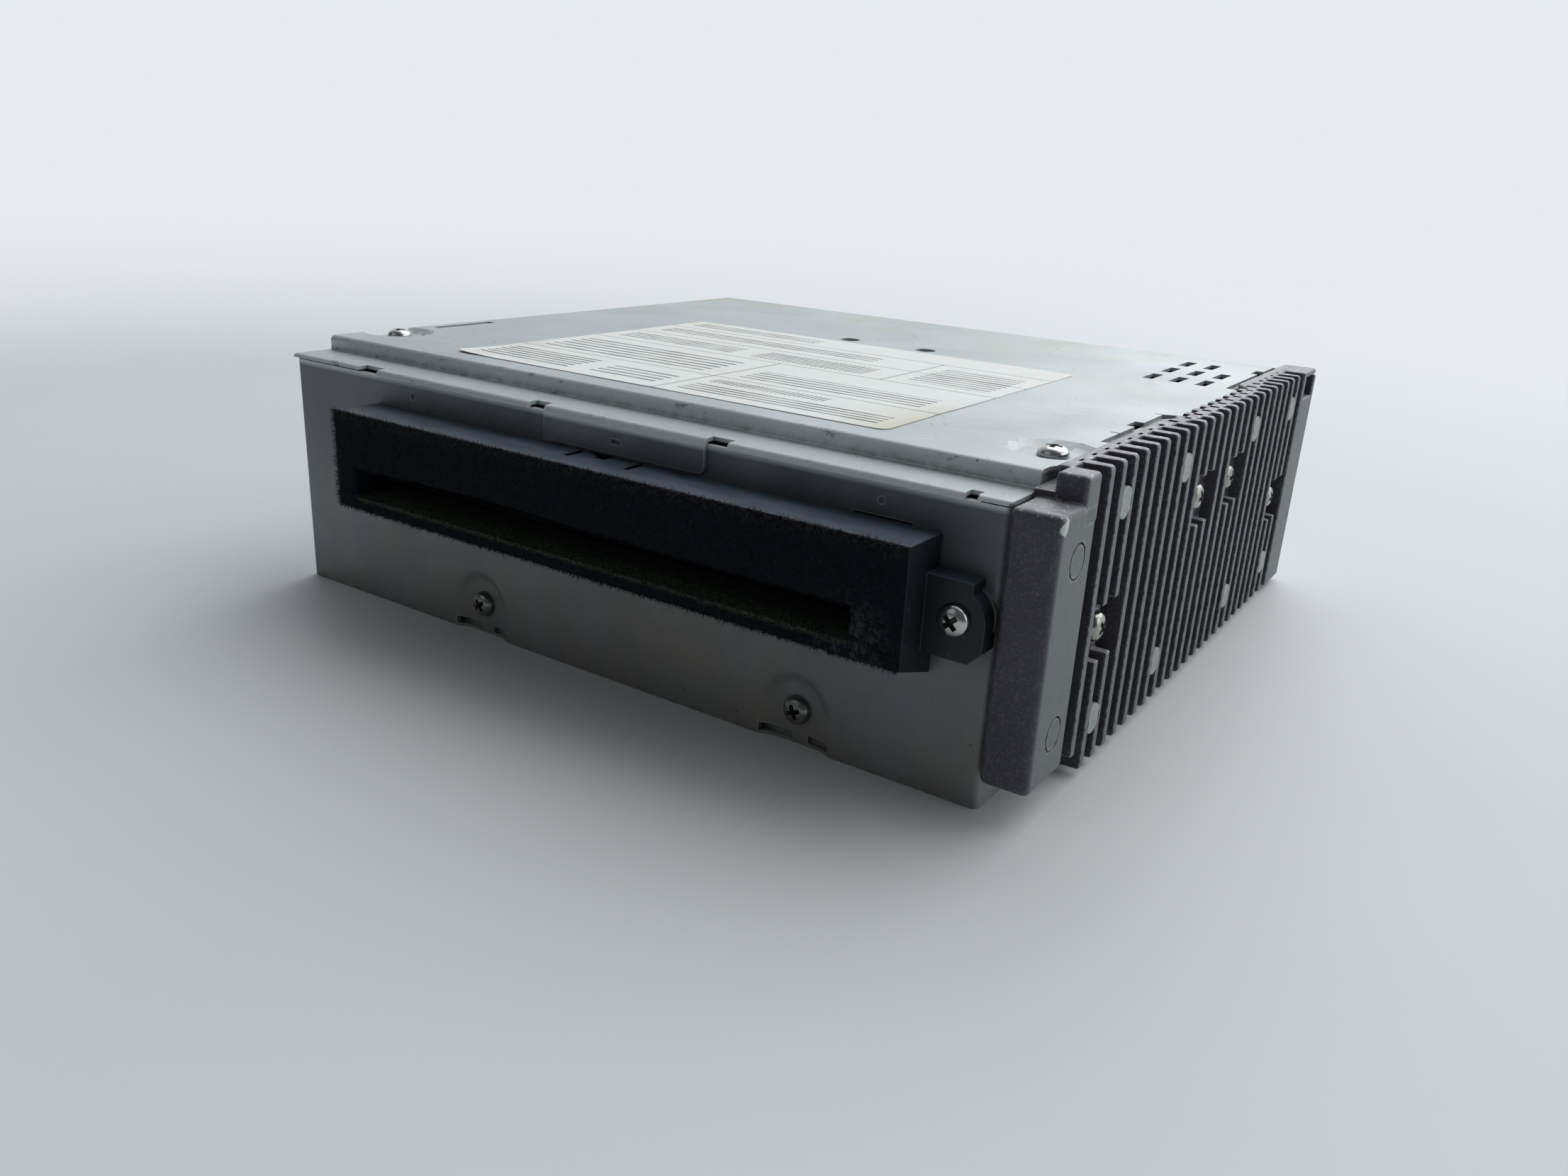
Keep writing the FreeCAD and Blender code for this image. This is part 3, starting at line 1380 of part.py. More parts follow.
# One feeler: a flat lever on the guide with a pin that hangs into the path of the disc
def disc_feeler(sign):
    pivot = "slot_x %s feeler_pivot_x" % sign, "feeler_pivot_y"
    tip = "slot_x %s feeler_x" % sign, "feeler_y"
    base = "guide_top + seam"
    plate = new_body("FeelerPlate")
    hull = "3 * feeler_radius"
    pad(plate, sketch(plate, "XY_Plane", base, [
        (pivot[0] + " - 2 * feeler_radius", pivot[1]), (tip[0] + " - 1.6 * feeler_radius", tip[1]),
        (tip[0] + " + 1.6 * feeler_radius", tip[1]), (pivot[0] + " + 2 * feeler_radius", pivot[1]),
    ]), "feeler_thick")
    added = [
        plate,
        bar("z", pivot[0], pivot[1], base, "feeler_thick", hull),
        bar("z", tip[0], tip[1], base, "feeler_thick", "1.8 * feeler_radius"),
        bar("z", tip[0], tip[1], "feeler_low", base + " - feeler_low + feeler_thick / 2",
            "feeler_radius"),
    ]
    return cut(join(added), [bar("z", pivot[0], pivot[1], "guide_z", "4 * guide_thick",
                                 "fine_screw_radius + shaft_play")])


def drive_deck():
    plate = block("slot_x - deck_half", "slot_x + deck_half", "deck_front", "deck_back", "deck_z",
                  "deck_top")
    added = [plate]
    back = "deck_back - holder_length"
    for y in ("rod_front", back):
        added.append(block("rod_x - holder_half", "rod_x + holder_half", y,
                           y + " + holder_length", "deck_z", "rod_z + rod_radius + wall / 2"))
    added.append(block("screw_x - holder_half", "screw_x + holder_half", "rod_front",
                       "rod_front + holder_length", "deck_z", "rod_z + rod_radius + wall / 2"))
    added.append(block("screw_x - sled_motor_radius", "screw_x + sled_motor_radius",
                       "deck_back - wall", "deck_back", "deck_z", "rod_z + sled_motor_radius"))
    taken = [
        block("slot_x - deck_window_half", "slot_x + deck_window_half", "deck_window_front",
              "deck_back - 2 * wall", "deck_z - wall", "deck_top + wall"),
        bar("z", "slot_x", "spindle_y", "deck_z - wall", "deck_thick + 2 * wall",
            "2 * spindle_radius"),
        bar("y", "rod_x", "rod_front - wall", "rod_z", "deck_back - rod_front + 2 * wall",
            "rod_radius"),
        bar("y", "screw_x", "rod_front - wall", "rod_z", "holder_length + 2 * wall",
            "journal_radius + shaft_play"),
        bar("y", "screw_x", "deck_back - 3 * wall", "rod_z", "4 * wall",
            "journal_radius + 2 * shaft_play"),
    ]
    for x, y in bush_spots:
        taken.append(bar("z", x, y, "deck_z - wall", "deck_thick + 2 * wall",
                         "fine_screw_radius + screw_play"))
    return cut(join(added), taken)


def spindle_motor():
    can = bar("z", "slot_x", "spindle_y", "deck_z - motor_height", "motor_height",
              "motor_radius")
    bore = bar("z", "slot_x", "spindle_y", "deck_z - motor_height + wall", "2 * motor_height",
               "spindle_radius + shaft_play")
    ring = bar("z", "slot_x", "spindle_y", "deck_z - motor_height / 2", "wall / 2",
               "motor_radius + wall")
    inner = bar("z", "slot_x", "spindle_y", "deck_z - motor_height", "motor_height",
                "motor_radius - wall / 2")
    return cut(can, [cut(ring, [inner]), bore])


def turntable():
    body = new_body("Turntable")
    under = "play_z - table_thick"
    revolve(body, sketch(body, "XZ_Plane", "0", [
        ("spindle_radius", "deck_top + table_gap"), ("table_neck", "deck_top + table_gap"),
        ("table_neck", under), ("table_radius", under), ("table_radius", "play_z"),
        ("cone_radius", "play_z"), ("cone_radius", "play_z + cone_height / 2"),
        ("cone_radius - cone_height / 2", "play_z + cone_height"),
        ("spindle_radius", "play_z + cone_height"),
    ]))
    return body


def spindle_shaft():
    low = "deck_z - motor_height + wall + shaft_play"
    return bar("z", "0", "0", low, "play_z + cone_height - (%s)" % low, "spindle_radius")


def guide_rod():
    return bar("y", "rod_x", "rod_front", "rod_z", "deck_back - rod_front", "rod_radius")


def lead_screw():
    body = new_body("LeadScrew")
    front = "rod_front + shaft_play"
    thread_from = "rod_front + holder_length + shaft_play"
    thread_to = "deck_back - wall - shaft_play"
    back = "deck_back + sled_motor_length / 2"
    revolve(body, sketch(body, "XY_Plane", "0", [
        ("0", front), ("journal_radius", front), ("journal_radius", thread_from),
        ("rod_radius", thread_from), ("rod_radius", thread_to), ("journal_radius", thread_to),
        ("journal_radius", back), ("0", back),
    ]))
    return body


def sled_motor():
    can = bar("y", "screw_x", "deck_back", "rod_z", "sled_motor_length", "sled_motor_radius")
    bore = bar("y", "screw_x", "deck_back - wall", "rod_z",
               "sled_motor_length / 2 + 2 * wall", "journal_radius + shaft_play")
    flat = block("screw_x - sled_motor_radius", "screw_x + sled_motor_radius",
                 "deck_back - wall", "deck_back + sled_motor_length + wall",
                 "rod_z + sled_motor_radius * 0.8", "rod_z + 2 * sled_motor_radius")
    return cut(can, [bore, flat])


def pickup_sled():
    front = "lens_y - sled_half"
    back = "lens_y + sled_half"
    ear = "rod_radius + ear_wall"
    added = [
        block("slot_x - sled_side", "slot_x + sled_side", front, back, "sled_low", "sled_top"),
        block("rod_x", "slot_x - sled_side", "lens_y - sled_ear / 2", "lens_y + sled_ear / 2",
              "deck_top + seam", "sled_top"),
        block("slot_x + sled_side", "screw_x", "lens_y - sled_ear / 2", "lens_y + sled_ear / 2",
              "deck_top + seam", "sled_top"),
    ]
    taken = []
    for x in ("rod_x", "screw_x"):
        added.append(block("%s - (%s)" % (x, ear), "%s + %s" % (x, ear), "lens_y - sled_ear / 2",
                           "lens_y + sled_ear / 2", "deck_top + seam", "rod_z + " + ear))
        taken.append(bar("y", x, "lens_y - sled_half", "rod_z", "2 * sled_half",
                         "rod_radius + shaft_play"))
    well = "slot_x - lens_foot", "slot_x + lens_foot"
    taken.append(block(*well, "lens_y - lens_foot", "lens_y + lens_foot", "sled_top - 3 * wall",
                       "sled_top + wall"))
    return cut(join(added), taken)


# The plate that carries the lens floats on wires above the sled
def lens_plate():
    half = "lens_plate / 2"
    plate = block("slot_x - " + half, "slot_x + " + half, "lens_y - " + half, "lens_y + " + half,
                  "lens_plate_z", "lens_plate_z + lens_plate_thick")
    foot = "lens_foot - 2 * seam"
    coil = block("slot_x - (%s)" % foot, "slot_x + " + foot, "lens_y - (%s)" % foot,
                 "lens_y + " + foot, "sled_top - wall", "lens_plate_z + lens_plate_thick / 2")
    hole = bar("z", "slot_x", "lens_y", "sled_top - 2 * wall", "4 * wall", "lens_radius - seam")
    seat = bar("z", "slot_x", "lens_y", "lens_plate_z + lens_plate_thick / 2", "2 * wall",
               "lens_radius + thread_play")
    return cut(join([plate, coil]), [hole, seat])


def objective_lens():
    base = "lens_plate_z + lens_plate_thick / 2"
    rim = bar("z", "slot_x", "lens_y", base, "lens_plate_thick / 2", "lens_radius")
    crown = cone("z", "slot_x", "lens_y", base + " + lens_plate_thick / 2", "lens_rise",
                 "lens_radius", "lens_radius * 0.6")
    return join([rim, crown])


def clamp_arm():
    bar_front = "clamp_pivot_y - clamp_bar / 2"
    bar_back = "clamp_pivot_y + clamp_bar / 2"
    left = "clamp_left"
    right = "clamp_right"
    added = [
        block(left, right + " + clamp_plate", bar_front, bar_back, "clamp_plate_z", "clamp_top"),
        block("slot_x - clamp_arm_half", "slot_x + clamp_arm_half", "spindle_y", bar_back,
              "clamp_plate_z", "clamp_top"),
        bar("z", "slot_x", "spindle_y", "clamp_plate_z", "clamp_plate", "clamp_arm_half"),
        block(left, left + " + clamp_plate", "clamp_pin_y - 3 * pin_radius", bar_back,
              "clamp_flange_low", "clamp_top"),
        block(right, right + " + clamp_plate", bar_front, bar_back, "clamp_flange_low",
              "clamp_top"),
        bar("-x", left + " + clamp_plate / 2", "clamp_pin_y", "clamp_pin_z",
            "clamp_left - slider_x + clamp_plate / 2", "arm_pin_radius"),
    ]
    taken = [bar("z", "slot_x", "spindle_y", "clamp_plate_z - wall", "clamp_plate + 2 * wall",
                 "stem_radius + stem_play")]
    for x in (left, right):
        taken.append(bar("x", x + " - wall", "clamp_pivot_y", "clamp_pivot_z", "3 * wall",
                         "pin_radius + shaft_play"))
    return cut(join(added), taken)


def clamper():
    body = new_body("Clamper")
    top = "clamper_z + clamper_thick"
    cap = "clamp_top + seam"
    revolve(body, sketch(body, "XZ_Plane", "0", [
        ("0", "clamper_z + clamper_recess_depth"),
        ("clamper_recess", "clamper_z + clamper_recess_depth"), ("clamper_recess", "clamper_z"),
        ("clamper_radius", "clamper_z"), ("clamper_radius", top + " - wall"),
        ("clamper_radius - wall", top), ("stem_radius", top), ("stem_radius", cap),
        ("stem_cap", cap), ("stem_cap", cap + " + stem_cap_thick"),
        ("0", cap + " + stem_cap_thick"),
    ]))
    return body


# Short pins riveted in the walls of the loader frame, inwards
def frame_pin(axis, y, z, length, radius):
    x = "frame_left" if axis == "x" else "frame_right"
    return bar(axis, x, y, z, length, radius)


def roller_arm():
    added = []
    taken = []
    for x in ("arm_left - arm_plate", "arm_right"):
        side = new_body("ArmSide")
        reach = "roller_bush"
        pad(side, sketch(side, "YZ_Plane", x, [
            ("roller_y", "roller_z - " + reach), ("arm_pin_y", "arm_bar_z"),
            ("arm_pivot_y", "arm_pivot_z - arm_pivot_boss"),
            ("arm_pivot_y", "arm_pivot_z + arm_pivot_boss"), ("roller_y", "roller_z + " + reach),
        ]), "arm_plate")
        added += [
            side,
            bar("x", x, "roller_y", "roller_z", "arm_plate", reach),
            bar("x", x, "arm_pivot_y", "arm_pivot_z", "arm_plate", "arm_pivot_boss"),
        ]
        taken.append(bar("x", x + " - wall", "roller_y", "roller_z", "3 * wall",
                         "roller_shaft + shaft_play"))
        taken.append(bar("x", x + " - wall", "arm_pivot_y", "arm_pivot_z", "3 * wall",
                         "pin_radius + shaft_play"))
    added.append(block("arm_left - arm_plate", "arm_right + arm_plate", "arm_bar_front",
                       "arm_bar_back", "arm_bar_z", "arm_bar_z + arm_plate"))
    pin_z = "arm_pin_z"
    added.append(bar("-x", "arm_left - arm_plate / 2", "arm_pin_y", pin_z,
                     "arm_left - arm_plate / 2 - slider_x", "arm_pin_radius"))
    return cut(join(added), taken)


def roller_tube():
    body = new_body("RollerTube")
    half = "roller_length / 2"
    bore = "roller_shaft"
    revolve(body, sketch(body, "XY_Plane", "0", [
        ("-" + half, bore), (half, bore), (half, "roller_radius"), ("0", "roller_waist"),
        ("-" + half, "roller_radius"),
    ]), "H_Axis")
    return body


def roller_shaft():
    start = "arm_left - arm_plate - gear_gap - slot_x"
    end = "gear_x + gear_width - slot_x"
    return bar("x", start, "0", "0", "%s - (%s)" % (end, start), "roller_shaft")


def loading_motor():
    x = "load_face - load_motor_length"
    can = bar("x", x, "pinion_y", "pinion_z", "load_motor_length", "load_motor_radius")
    bore = bar("-x", "load_face + wall", "pinion_y", "pinion_z", "load_motor_length / 2 + wall",
               "load_shaft + shaft_play")
    nose = bar("-x", "load_face - load_motor_length + wall", "pinion_y", "pinion_z", "3 * wall",
               "load_motor_radius / 3")
    return cut(join([can, nose]), [bore])


def motor_bracket():
    plate = block("load_face", "load_face + bracket_wall", "pinion_y - bracket_half",
                  "pinion_y + bracket_half", "guide_top", "pinion_z + bracket_half")
    foot = block("load_face", "bracket_shelf", "pinion_y - bracket_half",
                 "pinion_y + bracket_half", "guide_top", "guide_top + bracket_wall")
    hole = bar("x", "load_face - wall", "pinion_y", "pinion_z", "bracket_wall + 2 * wall",
               "load_shaft + screw_play")
    return cut(join([plate, foot]), [hole])


# A slot with round ends between two points, through the slider plate
def slider_slot(y_from, z_from, y_to, z_to, radius):
    body = new_body("Slot")
    shape = sketch(body, "YZ_Plane", "slider_x - wall", [
        (y_from, "%s - (%s)" % (z_from, radius)), (y_from, "%s + %s" % (z_from, radius)),
        (y_to, "%s + %s" % (z_to, radius)), (y_to, "%s - (%s)" % (z_to, radius)),
    ])
    pad(body, shape, "slider_wall + 2 * wall")
    ends = [bar("x", "slider_x - wall", y, z, "slider_wall + 2 * wall", radius)
            for y, z in ((y_from, z_from), (y_to, z_to))]
    return [body] + ends


def mode_slider():
    thick = "slider_x", "slider_x + slider_wall"
    added = [
        block(*thick, "slider_front", "slider_back", "slider_low", "slider_high"),
        block(*thick, "slider_tower", "slider_back", "slider_low", "slider_top"),
    ]
    arm_drop = "(arm_pivot_y - arm_pin_y) * sin(arm_travel)"
    clamp_drop = "(clamp_pivot_y - clamp_pin_y) * sin(clamp_travel)"
    taken = []
    taken += slider_slot("arm_pin_y - slider_travel", "arm_pin_z - (%s)" % arm_drop,
                         "arm_pin_y", "arm_pin_z", "arm_pin_radius + slider_play")
    taken += slider_slot("clamp_pin_y - slider_travel", "clamp_pin_z - (%s)" % clamp_drop,
                         "clamp_pin_y", "clamp_pin_z", "arm_pin_radius + slider_play")
    taken += slider_slot("arm_pivot_y - slider_travel", "arm_pivot_z", "arm_pivot_y",
                         "arm_pivot_z", "pin_radius + shaft_play")
    taken += slider_slot("slider_pin_y - slider_travel", "slider_pin_z", "slider_pin_y",
                         "slider_pin_z", "slider_pin_radius + shaft_play")
    return cut(join(added), taken)


# The ribbon leaves the deck at the back, bows down and ends on the board
def ribbon_cable():
    body = new_body("Ribbon")
    bow = "deck_back + ribbon_run"
    thick = "ribbon_thick"
    pad(body, sketch(body, "YZ_Plane", "ribbon_x", [
        ("deck_back", "deck_z"), (bow, "deck_z"), (bow + " + ribbon_bow", "deck_z - ribbon_bow"),
        (bow + " + ribbon_bow", "board_top + ribbon_bow"), (bow, "board_top + " + thick),
        ("deck_back", "board_top + " + thick), ("deck_back", "board_top"), (bow, "board_top"),
        (bow + " + ribbon_bow + " + thick, "board_top + ribbon_bow"),
        (bow + " + ribbon_bow + " + thick, "deck_z - ribbon_bow"),
        (bow, "deck_z + " + thick), ("deck_back", "deck_z + " + thick),
    ]), "ribbon_width")
    return body


# The case
node(case_walls(), "case_walls")
node(top_cover(), "top_cover")
node(bottom_pan(), "bottom_pan")
node(rear_plate(), "rear_plate")
node(heat_sink(), "heat_sink")
node(slot_bezel(), "slot_bezel")
node(slot_felt(), "slot_felt")
node(product_label(), "product_label")

# Screws of the case
node(pan_screw("ear_screw_x", "-ear_proud", "ear_screw_z", "-y", "ear_proud + wall"),
     "bezel_screw", "ear_screw_x", "-ear_proud", "ear_screw_z")
node(group([pan_screw(x, "pad_depth", "pad_screw_z", "-y", "2 * wall + seam")
            for x in ("pad_left_x", "pad_right_x")]), "front_screws")
node(group([pan_screw(x, "dimple_y", "lug_top + cover_wall", "z", "cover_wall + 4 * wall")
            for x in ("dimple_inset", "case_width - dimple_inset")]), "cover_screws")
sink_screw_lengths = {"sink_screw_low": "boss_reach + wall + seam",
                      "sink_screw_high": "boss_reach + wall + chip_thick"}
node(group([pan_screw("case_width + boss_reach", "screw_line + %d * fin_pitch" % k, z, "x",
                      sink_screw_lengths[z]) for k, z in sink_screws]), "heat_sink_screws")
node(group([pan_screw(x, "wall_end", "rear_screw_z", "y", "2 * wall + seam")
            for x in ("rear_screw_inset", "case_width - rear_screw_inset")]), "rear_screws")

# Electronics
node(main_board(), "main_board")
node(group([pan_screw(x, y, "board_top", "z", "board_thick + 3 * wall", True)
            for x, y in board_spots]), "board_screws")
node(block("processor_x", "processor_x + processor_size", "processor_y",
           "processor_y + processor_size", "board_top", "board_top + processor_height"),
     "processor_chip")
node(capacitors(), "capacitors")
node(amplifier_chips(), "amplifier_chips")
node(chip_clamp(), "chip_clamp")
node(block("tuner_x", "tuner_x + tuner_width", "tuner_y", "tuner_y + tuner_length", "board_top",
           "board_top + tuner_height"), "tuner_can")
node(power_connector(), "power_connector")
node(connector_pins(), "connector_pins")
node(aerial_sockets(), "aerial_sockets")
node(ribbon_cable(), "ribbon_cable")

# The loader frame and what stands in it
node(loader_frame(), "loader_frame")
node(damper_posts(), "damper_posts")
node(group([rubber_ring(x, y, "frame_z - damper_height", "damper_height", "damper_radius")
            for x, y in damper_spots]), "rubber_dampers")
node(group([pan_screw(x, y, "frame_floor", "z", "frame_wall + damper_height + 3 * wall", True)
            for x, y in damper_spots]), "damper_screws")
node(upper_guide(), "upper_guide")
node(disc_feeler("-"), "left_feeler")
node(disc_feeler("+"), "right_feeler")
node(group([pan_screw("slot_x %s feeler_pivot_x" % sign, "feeler_pivot_y",
                      "guide_top + 2 * seam + feeler_thick", "z",
                      "guide_thick + feeler_thick + 2 * seam", True) for sign in "-+"]),
     "feeler_screws")

# The disc drive
node(drive_deck(), "drive_deck")
node(group([rubber_ring(x, y, "frame_floor", "deck_z - frame_floor", "bush_radius")
            for x, y in bush_spots]), "deck_bushes")
node(group([pan_screw(x, y, "deck_top", "z", "deck_top - frame_z", True)
            for x, y in bush_spots]), "deck_screws")
node(spindle_motor(), "spindle_motor")
node(turntable(), "turntable", "slot_x", "spindle_y")
node(spindle_shaft(), "spindle_shaft", "slot_x", "spindle_y")
node(guide_rod(), "guide_rod")
node(lead_screw(), "lead_screw", "screw_x", "0", "rod_z")
node(sled_motor(), "sled_motor")
node(pickup_sled(), "pickup_sled")
node(lens_plate(), "lens_plate")
node(objective_lens(), "objective_lens")

# The clamp
node(clamp_arm(), "clamp_arm")
node(clamper(), "clamper", "slot_x", "spindle_y")
node(group([frame_pin(axis, "clamp_pivot_y", "clamp_pivot_z", "clamp_side + frame_wall + seam",
                      "pin_radius") for axis in ("x", "-x")]
           + [frame_pin("x", "slider_pin_y", "slider_pin_z", "frame_wall + slider_inset + seam",
                        "slider_pin_radius")]), "frame_pins")

# The loading roller, its gears and the mode slider
node(roller_arm(), "roller_arm")
node(bar("x", "frame_left", "arm_pivot_y", "arm_pivot_z", "frame_width", "pin_radius"),
     "arm_shaft")
node(roller_tube(), "loading_roller", "slot_x", "roller_y", "roller_z")
node(roller_shaft(), "roller_shaft", "slot_x", "roller_y", "roller_z")

roller_turn = value("90")
transfer_turn = mesh_angle(90, roller_turn, value("roller_teeth"), value("roller_teeth"))
small_turn = mesh_angle(value("reduction_angle"), transfer_turn, value("roller_teeth"),
                        value("small_teeth"))
pinion_turn = mesh_angle(value("pinion_angle"), small_turn, value("large_teeth"),
                         value("pinion_teeth"))


def gear_node(item, label, y, z, turned):
    turn = FreeCAD.Rotation(FreeCAD.Vector(1, 0, 0), turned)
    node(item, label, "0", y, z, turn)


gear_node(spur_gear("roller_teeth", "gear_width", "roller_shaft", 0, "gear_x"), "roller_gear",
          "roller_y", "roller_z", roller_turn)
gear_node(spur_gear("roller_teeth", "gear_width", "axle_radius + shaft_play", 0, "gear_x"),
          "transfer_gear", "roller_y", "transfer_z", transfer_turn)
reduction = join([
    spur_gear("small_teeth", "gear_width + gear_gap", "axle_radius + shaft_play", 0,
              "big_gear_x + gear_width"),
    spur_gear("large_teeth", "gear_width", "axle_radius + shaft_play", 0, "big_gear_x"),
])
gear_node(reduction, "reduction_gear", "reduction_y", "reduction_z", small_turn)
gear_node(spur_gear("pinion_teeth", "gear_width", "load_shaft", 0, "big_gear_x"), "motor_pinion",
          "pinion_y", "pinion_z", pinion_turn)
node(group([bar("-x", "frame_right", "roller_y", "transfer_z", "frame_right - gear_x",
                "axle_radius"),
            bar("-x", "frame_right", "reduction_y", "reduction_z", "frame_right - big_gear_x",
                "axle_radius")]), "gear_axles")
node(loading_motor(), "loading_motor")
node(bar("x", "load_face - load_motor_length / 3", "pinion_y", "pinion_z",
         "big_gear_x + gear_width - load_face + load_motor_length / 3", "load_shaft"),
     "motor_shaft")
node(motor_bracket(), "motor_bracket")
node(mode_slider(), "mode_slider")

doc.recompute()

for item in doc.Objects:
    if "Invalid" in item.State or "Error" in item.State:
        raise RuntimeError(item.Name + " " + item.Label + " failed")
os.makedirs("parts", exist_ok=True)
for item in nodes:
    shape = item.Shape
    if shape.isNull() or not shape.isValid():
        raise RuntimeError(item.Label + " has no sound shape")
    shape.exportStep("parts/" + item.Label + ".step")
print(len(nodes), "pieces written")
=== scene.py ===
import math
import random

import bpy
from mathutils import Matrix, Vector, noise


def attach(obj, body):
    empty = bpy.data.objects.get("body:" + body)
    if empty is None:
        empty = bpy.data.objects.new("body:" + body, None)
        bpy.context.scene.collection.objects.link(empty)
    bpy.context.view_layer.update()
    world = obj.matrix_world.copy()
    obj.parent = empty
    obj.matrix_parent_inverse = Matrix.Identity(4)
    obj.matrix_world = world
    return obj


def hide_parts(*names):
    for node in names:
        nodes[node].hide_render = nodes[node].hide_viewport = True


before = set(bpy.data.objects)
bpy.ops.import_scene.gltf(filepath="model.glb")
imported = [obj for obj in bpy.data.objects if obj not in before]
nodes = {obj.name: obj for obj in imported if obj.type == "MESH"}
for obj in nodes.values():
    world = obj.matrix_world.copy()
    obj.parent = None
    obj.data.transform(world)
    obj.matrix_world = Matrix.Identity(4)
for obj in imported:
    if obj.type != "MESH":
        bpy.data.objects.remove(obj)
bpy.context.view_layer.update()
scene = bpy.context.scene
scene.view_settings.view_transform = "Standard"
random.seed(11)
print("frame loaded with", len(nodes), "nodes")


# The case is drawn in millimetres from its front left corner; this is the same place in the frame, in metres
def at(x, y, z):
    return Vector((x - 94.6, y - 81.5, z)) / 1000


def mm(size):
    return size / 1000


# Small helpers for modelling

def chooseOnly(*pieces):
    if bpy.context.object and bpy.context.object.mode != "OBJECT":
        leaveEdit()
    bpy.ops.object.select_all(action="DESELECT")
    for piece in pieces:
        piece.select_set(True)
    if pieces:
        bpy.context.view_layer.objects.active = pieces[0]


def startEdit(piece, kind="VERT"):
    chooseOnly(piece)
    bpy.ops.object.mode_set(mode="EDIT")
    bpy.ops.mesh.select_mode(type=kind)


def leaveEdit():
    bpy.ops.object.mode_set(mode="OBJECT")


def selectAll():
    bpy.ops.mesh.select_all(action="SELECT")


# Merges doubled points where a gap is given, turns all faces outwards and leaves edit mode
def closeMesh(gap=0):
    selectAll()
    if gap:
        bpy.ops.mesh.remove_doubles(threshold=gap)
        selectAll()
    bpy.ops.mesh.normals_make_consistent(inside=False)
    leaveEdit()


def applyPlace(piece):
    chooseOnly(piece)
    bpy.ops.object.transform_apply(location=True, rotation=True, scale=True)


def takeNew(name, scale=None):  # the primitive just added, with its place in its mesh
    piece = bpy.context.object
    piece.name = name
    if scale:
        piece.scale = scale
    applyPlace(piece)
    return piece


def startBlock(name, low, high):  # a cube between two corners
    chooseOnly()
    bpy.ops.mesh.primitive_cube_add(size=1, location=(low + high) / 2, scale=high - low)
    return takeNew(name)


def startRod(name, start, end, radius, sides):
    chooseOnly()
    axis = end - start
    bpy.ops.mesh.primitive_cylinder_add(
        vertices=sides, radius=mm(radius), depth=axis.length, location=(start + end) / 2,
        rotation=Vector((0, 0, 1)).rotation_difference(axis).to_euler())
    return takeNew(name)


# An outline drawn point by point, as one face
def startOutline(name, points, fill=True):
    chooseOnly()
    bpy.ops.mesh.primitive_plane_add(size=0.001, location=points[0])
    piece = takeNew(name)
    startEdit(piece)
    selectAll()
    bpy.ops.mesh.merge(type="CENTER")
    for before, after in zip(points, points[1:]):
        bpy.ops.mesh.extrude_vertices_move(TRANSFORM_OT_translate={"value": after - before})
    if fill:
        selectAll()
        bpy.ops.mesh.edge_face_add()
    leaveEdit()
    return piece


def pullFaces(by):
    bpy.ops.mesh.extrude_region_move(TRANSFORM_OT_translate={"value": by})


def pullEdges(by):
    bpy.ops.mesh.extrude_edges_move(TRANSFORM_OT_translate={"value": by})


def pullOutline(piece, by):  # turns a filled outline into a prism
    startEdit(piece, "FACE")
    selectAll()
    pullFaces(by)
    closeMesh()


# Selects faces, edges or points by their place, and stays in edit mode
def pick(piece, kind, test):
    startEdit(piece, kind)
    bpy.ops.mesh.select_all(action="DESELECT")
    leaveEdit()
    mesh = piece.data
    if kind == "FACE":
        for face in mesh.polygons:
            face.select = bool(test(face.center, face.normal))
    elif kind == "EDGE":
        for edge in mesh.edges:
            edge.select = bool(test(*[mesh.vertices[i].co for i in edge.vertices]))
    else:
        for point in mesh.vertices:
            point.select = bool(test(point.co))
    bpy.ops.object.mode_set(mode="EDIT")


def applyModifier(piece, kind, **settings):
    chooseOnly(piece)
    modifier = piece.modifiers.new("step", kind)
    for key, value in settings.items():
        setattr(modifier, key, value)
    bpy.ops.object.modifier_apply(modifier=modifier.name)


def roundSharp(piece, width, steps=2):  # every sharp edge
    applyModifier(piece, "BEVEL", width=mm(width), segments=steps, limit_method="ANGLE",
                  angle_limit=math.radians(30), use_clamp_overlap=True)


def carve(piece, tool):  # the new faces take the tool's material
    applyModifier(piece, "BOOLEAN", operation="DIFFERENCE", solver="EXACT",
                  material_mode="TRANSFER", object=tool)
    bpy.data.objects.remove(tool)


def repeat(piece, count, step):
    applyModifier(piece, "ARRAY", count=count, use_relative_offset=False,
                  use_constant_offset=True, constant_offset_displace=step)


def joinPieces(name, *pieces):
    chooseOnly(*pieces)
    if len(pieces) > 1:
        bpy.ops.object.join()
    pieces[0].name = name
    return pieces[0]


def copyTo(piece, name, where, toward, turn):  # a copy with its own mesh
    copy = piece.copy()
    copy.data = piece.data.copy()
    copy.name = name
    scene.collection.objects.link(copy)
    lean = Vector((0, 0, 1)).rotation_difference(Vector(toward)).to_matrix().to_4x4()
    copy.matrix_world = Matrix.Translation(where) @ lean @ Matrix.Rotation(turn, 4, "Z")
    applyPlace(copy)
    return copy


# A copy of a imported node, merged into clean faces so that its edges can be worked
def cleanCopy(node, name):
    piece = bpy.data.objects.new(name, nodes[node].data.copy())
    scene.collection.objects.link(piece)
    startEdit(piece)
    bpy.ops.mesh.customdata_custom_splitnormals_clear()
    selectAll()
    bpy.ops.mesh.remove_doubles(threshold=2e-6)
    selectAll()
    bpy.ops.mesh.dissolve_limited(angle_limit=math.radians(0.4))
    closeMesh()
    return piece


def setMaterial(piece, material):
    piece.data.materials.clear()
    piece.data.materials.append(material)


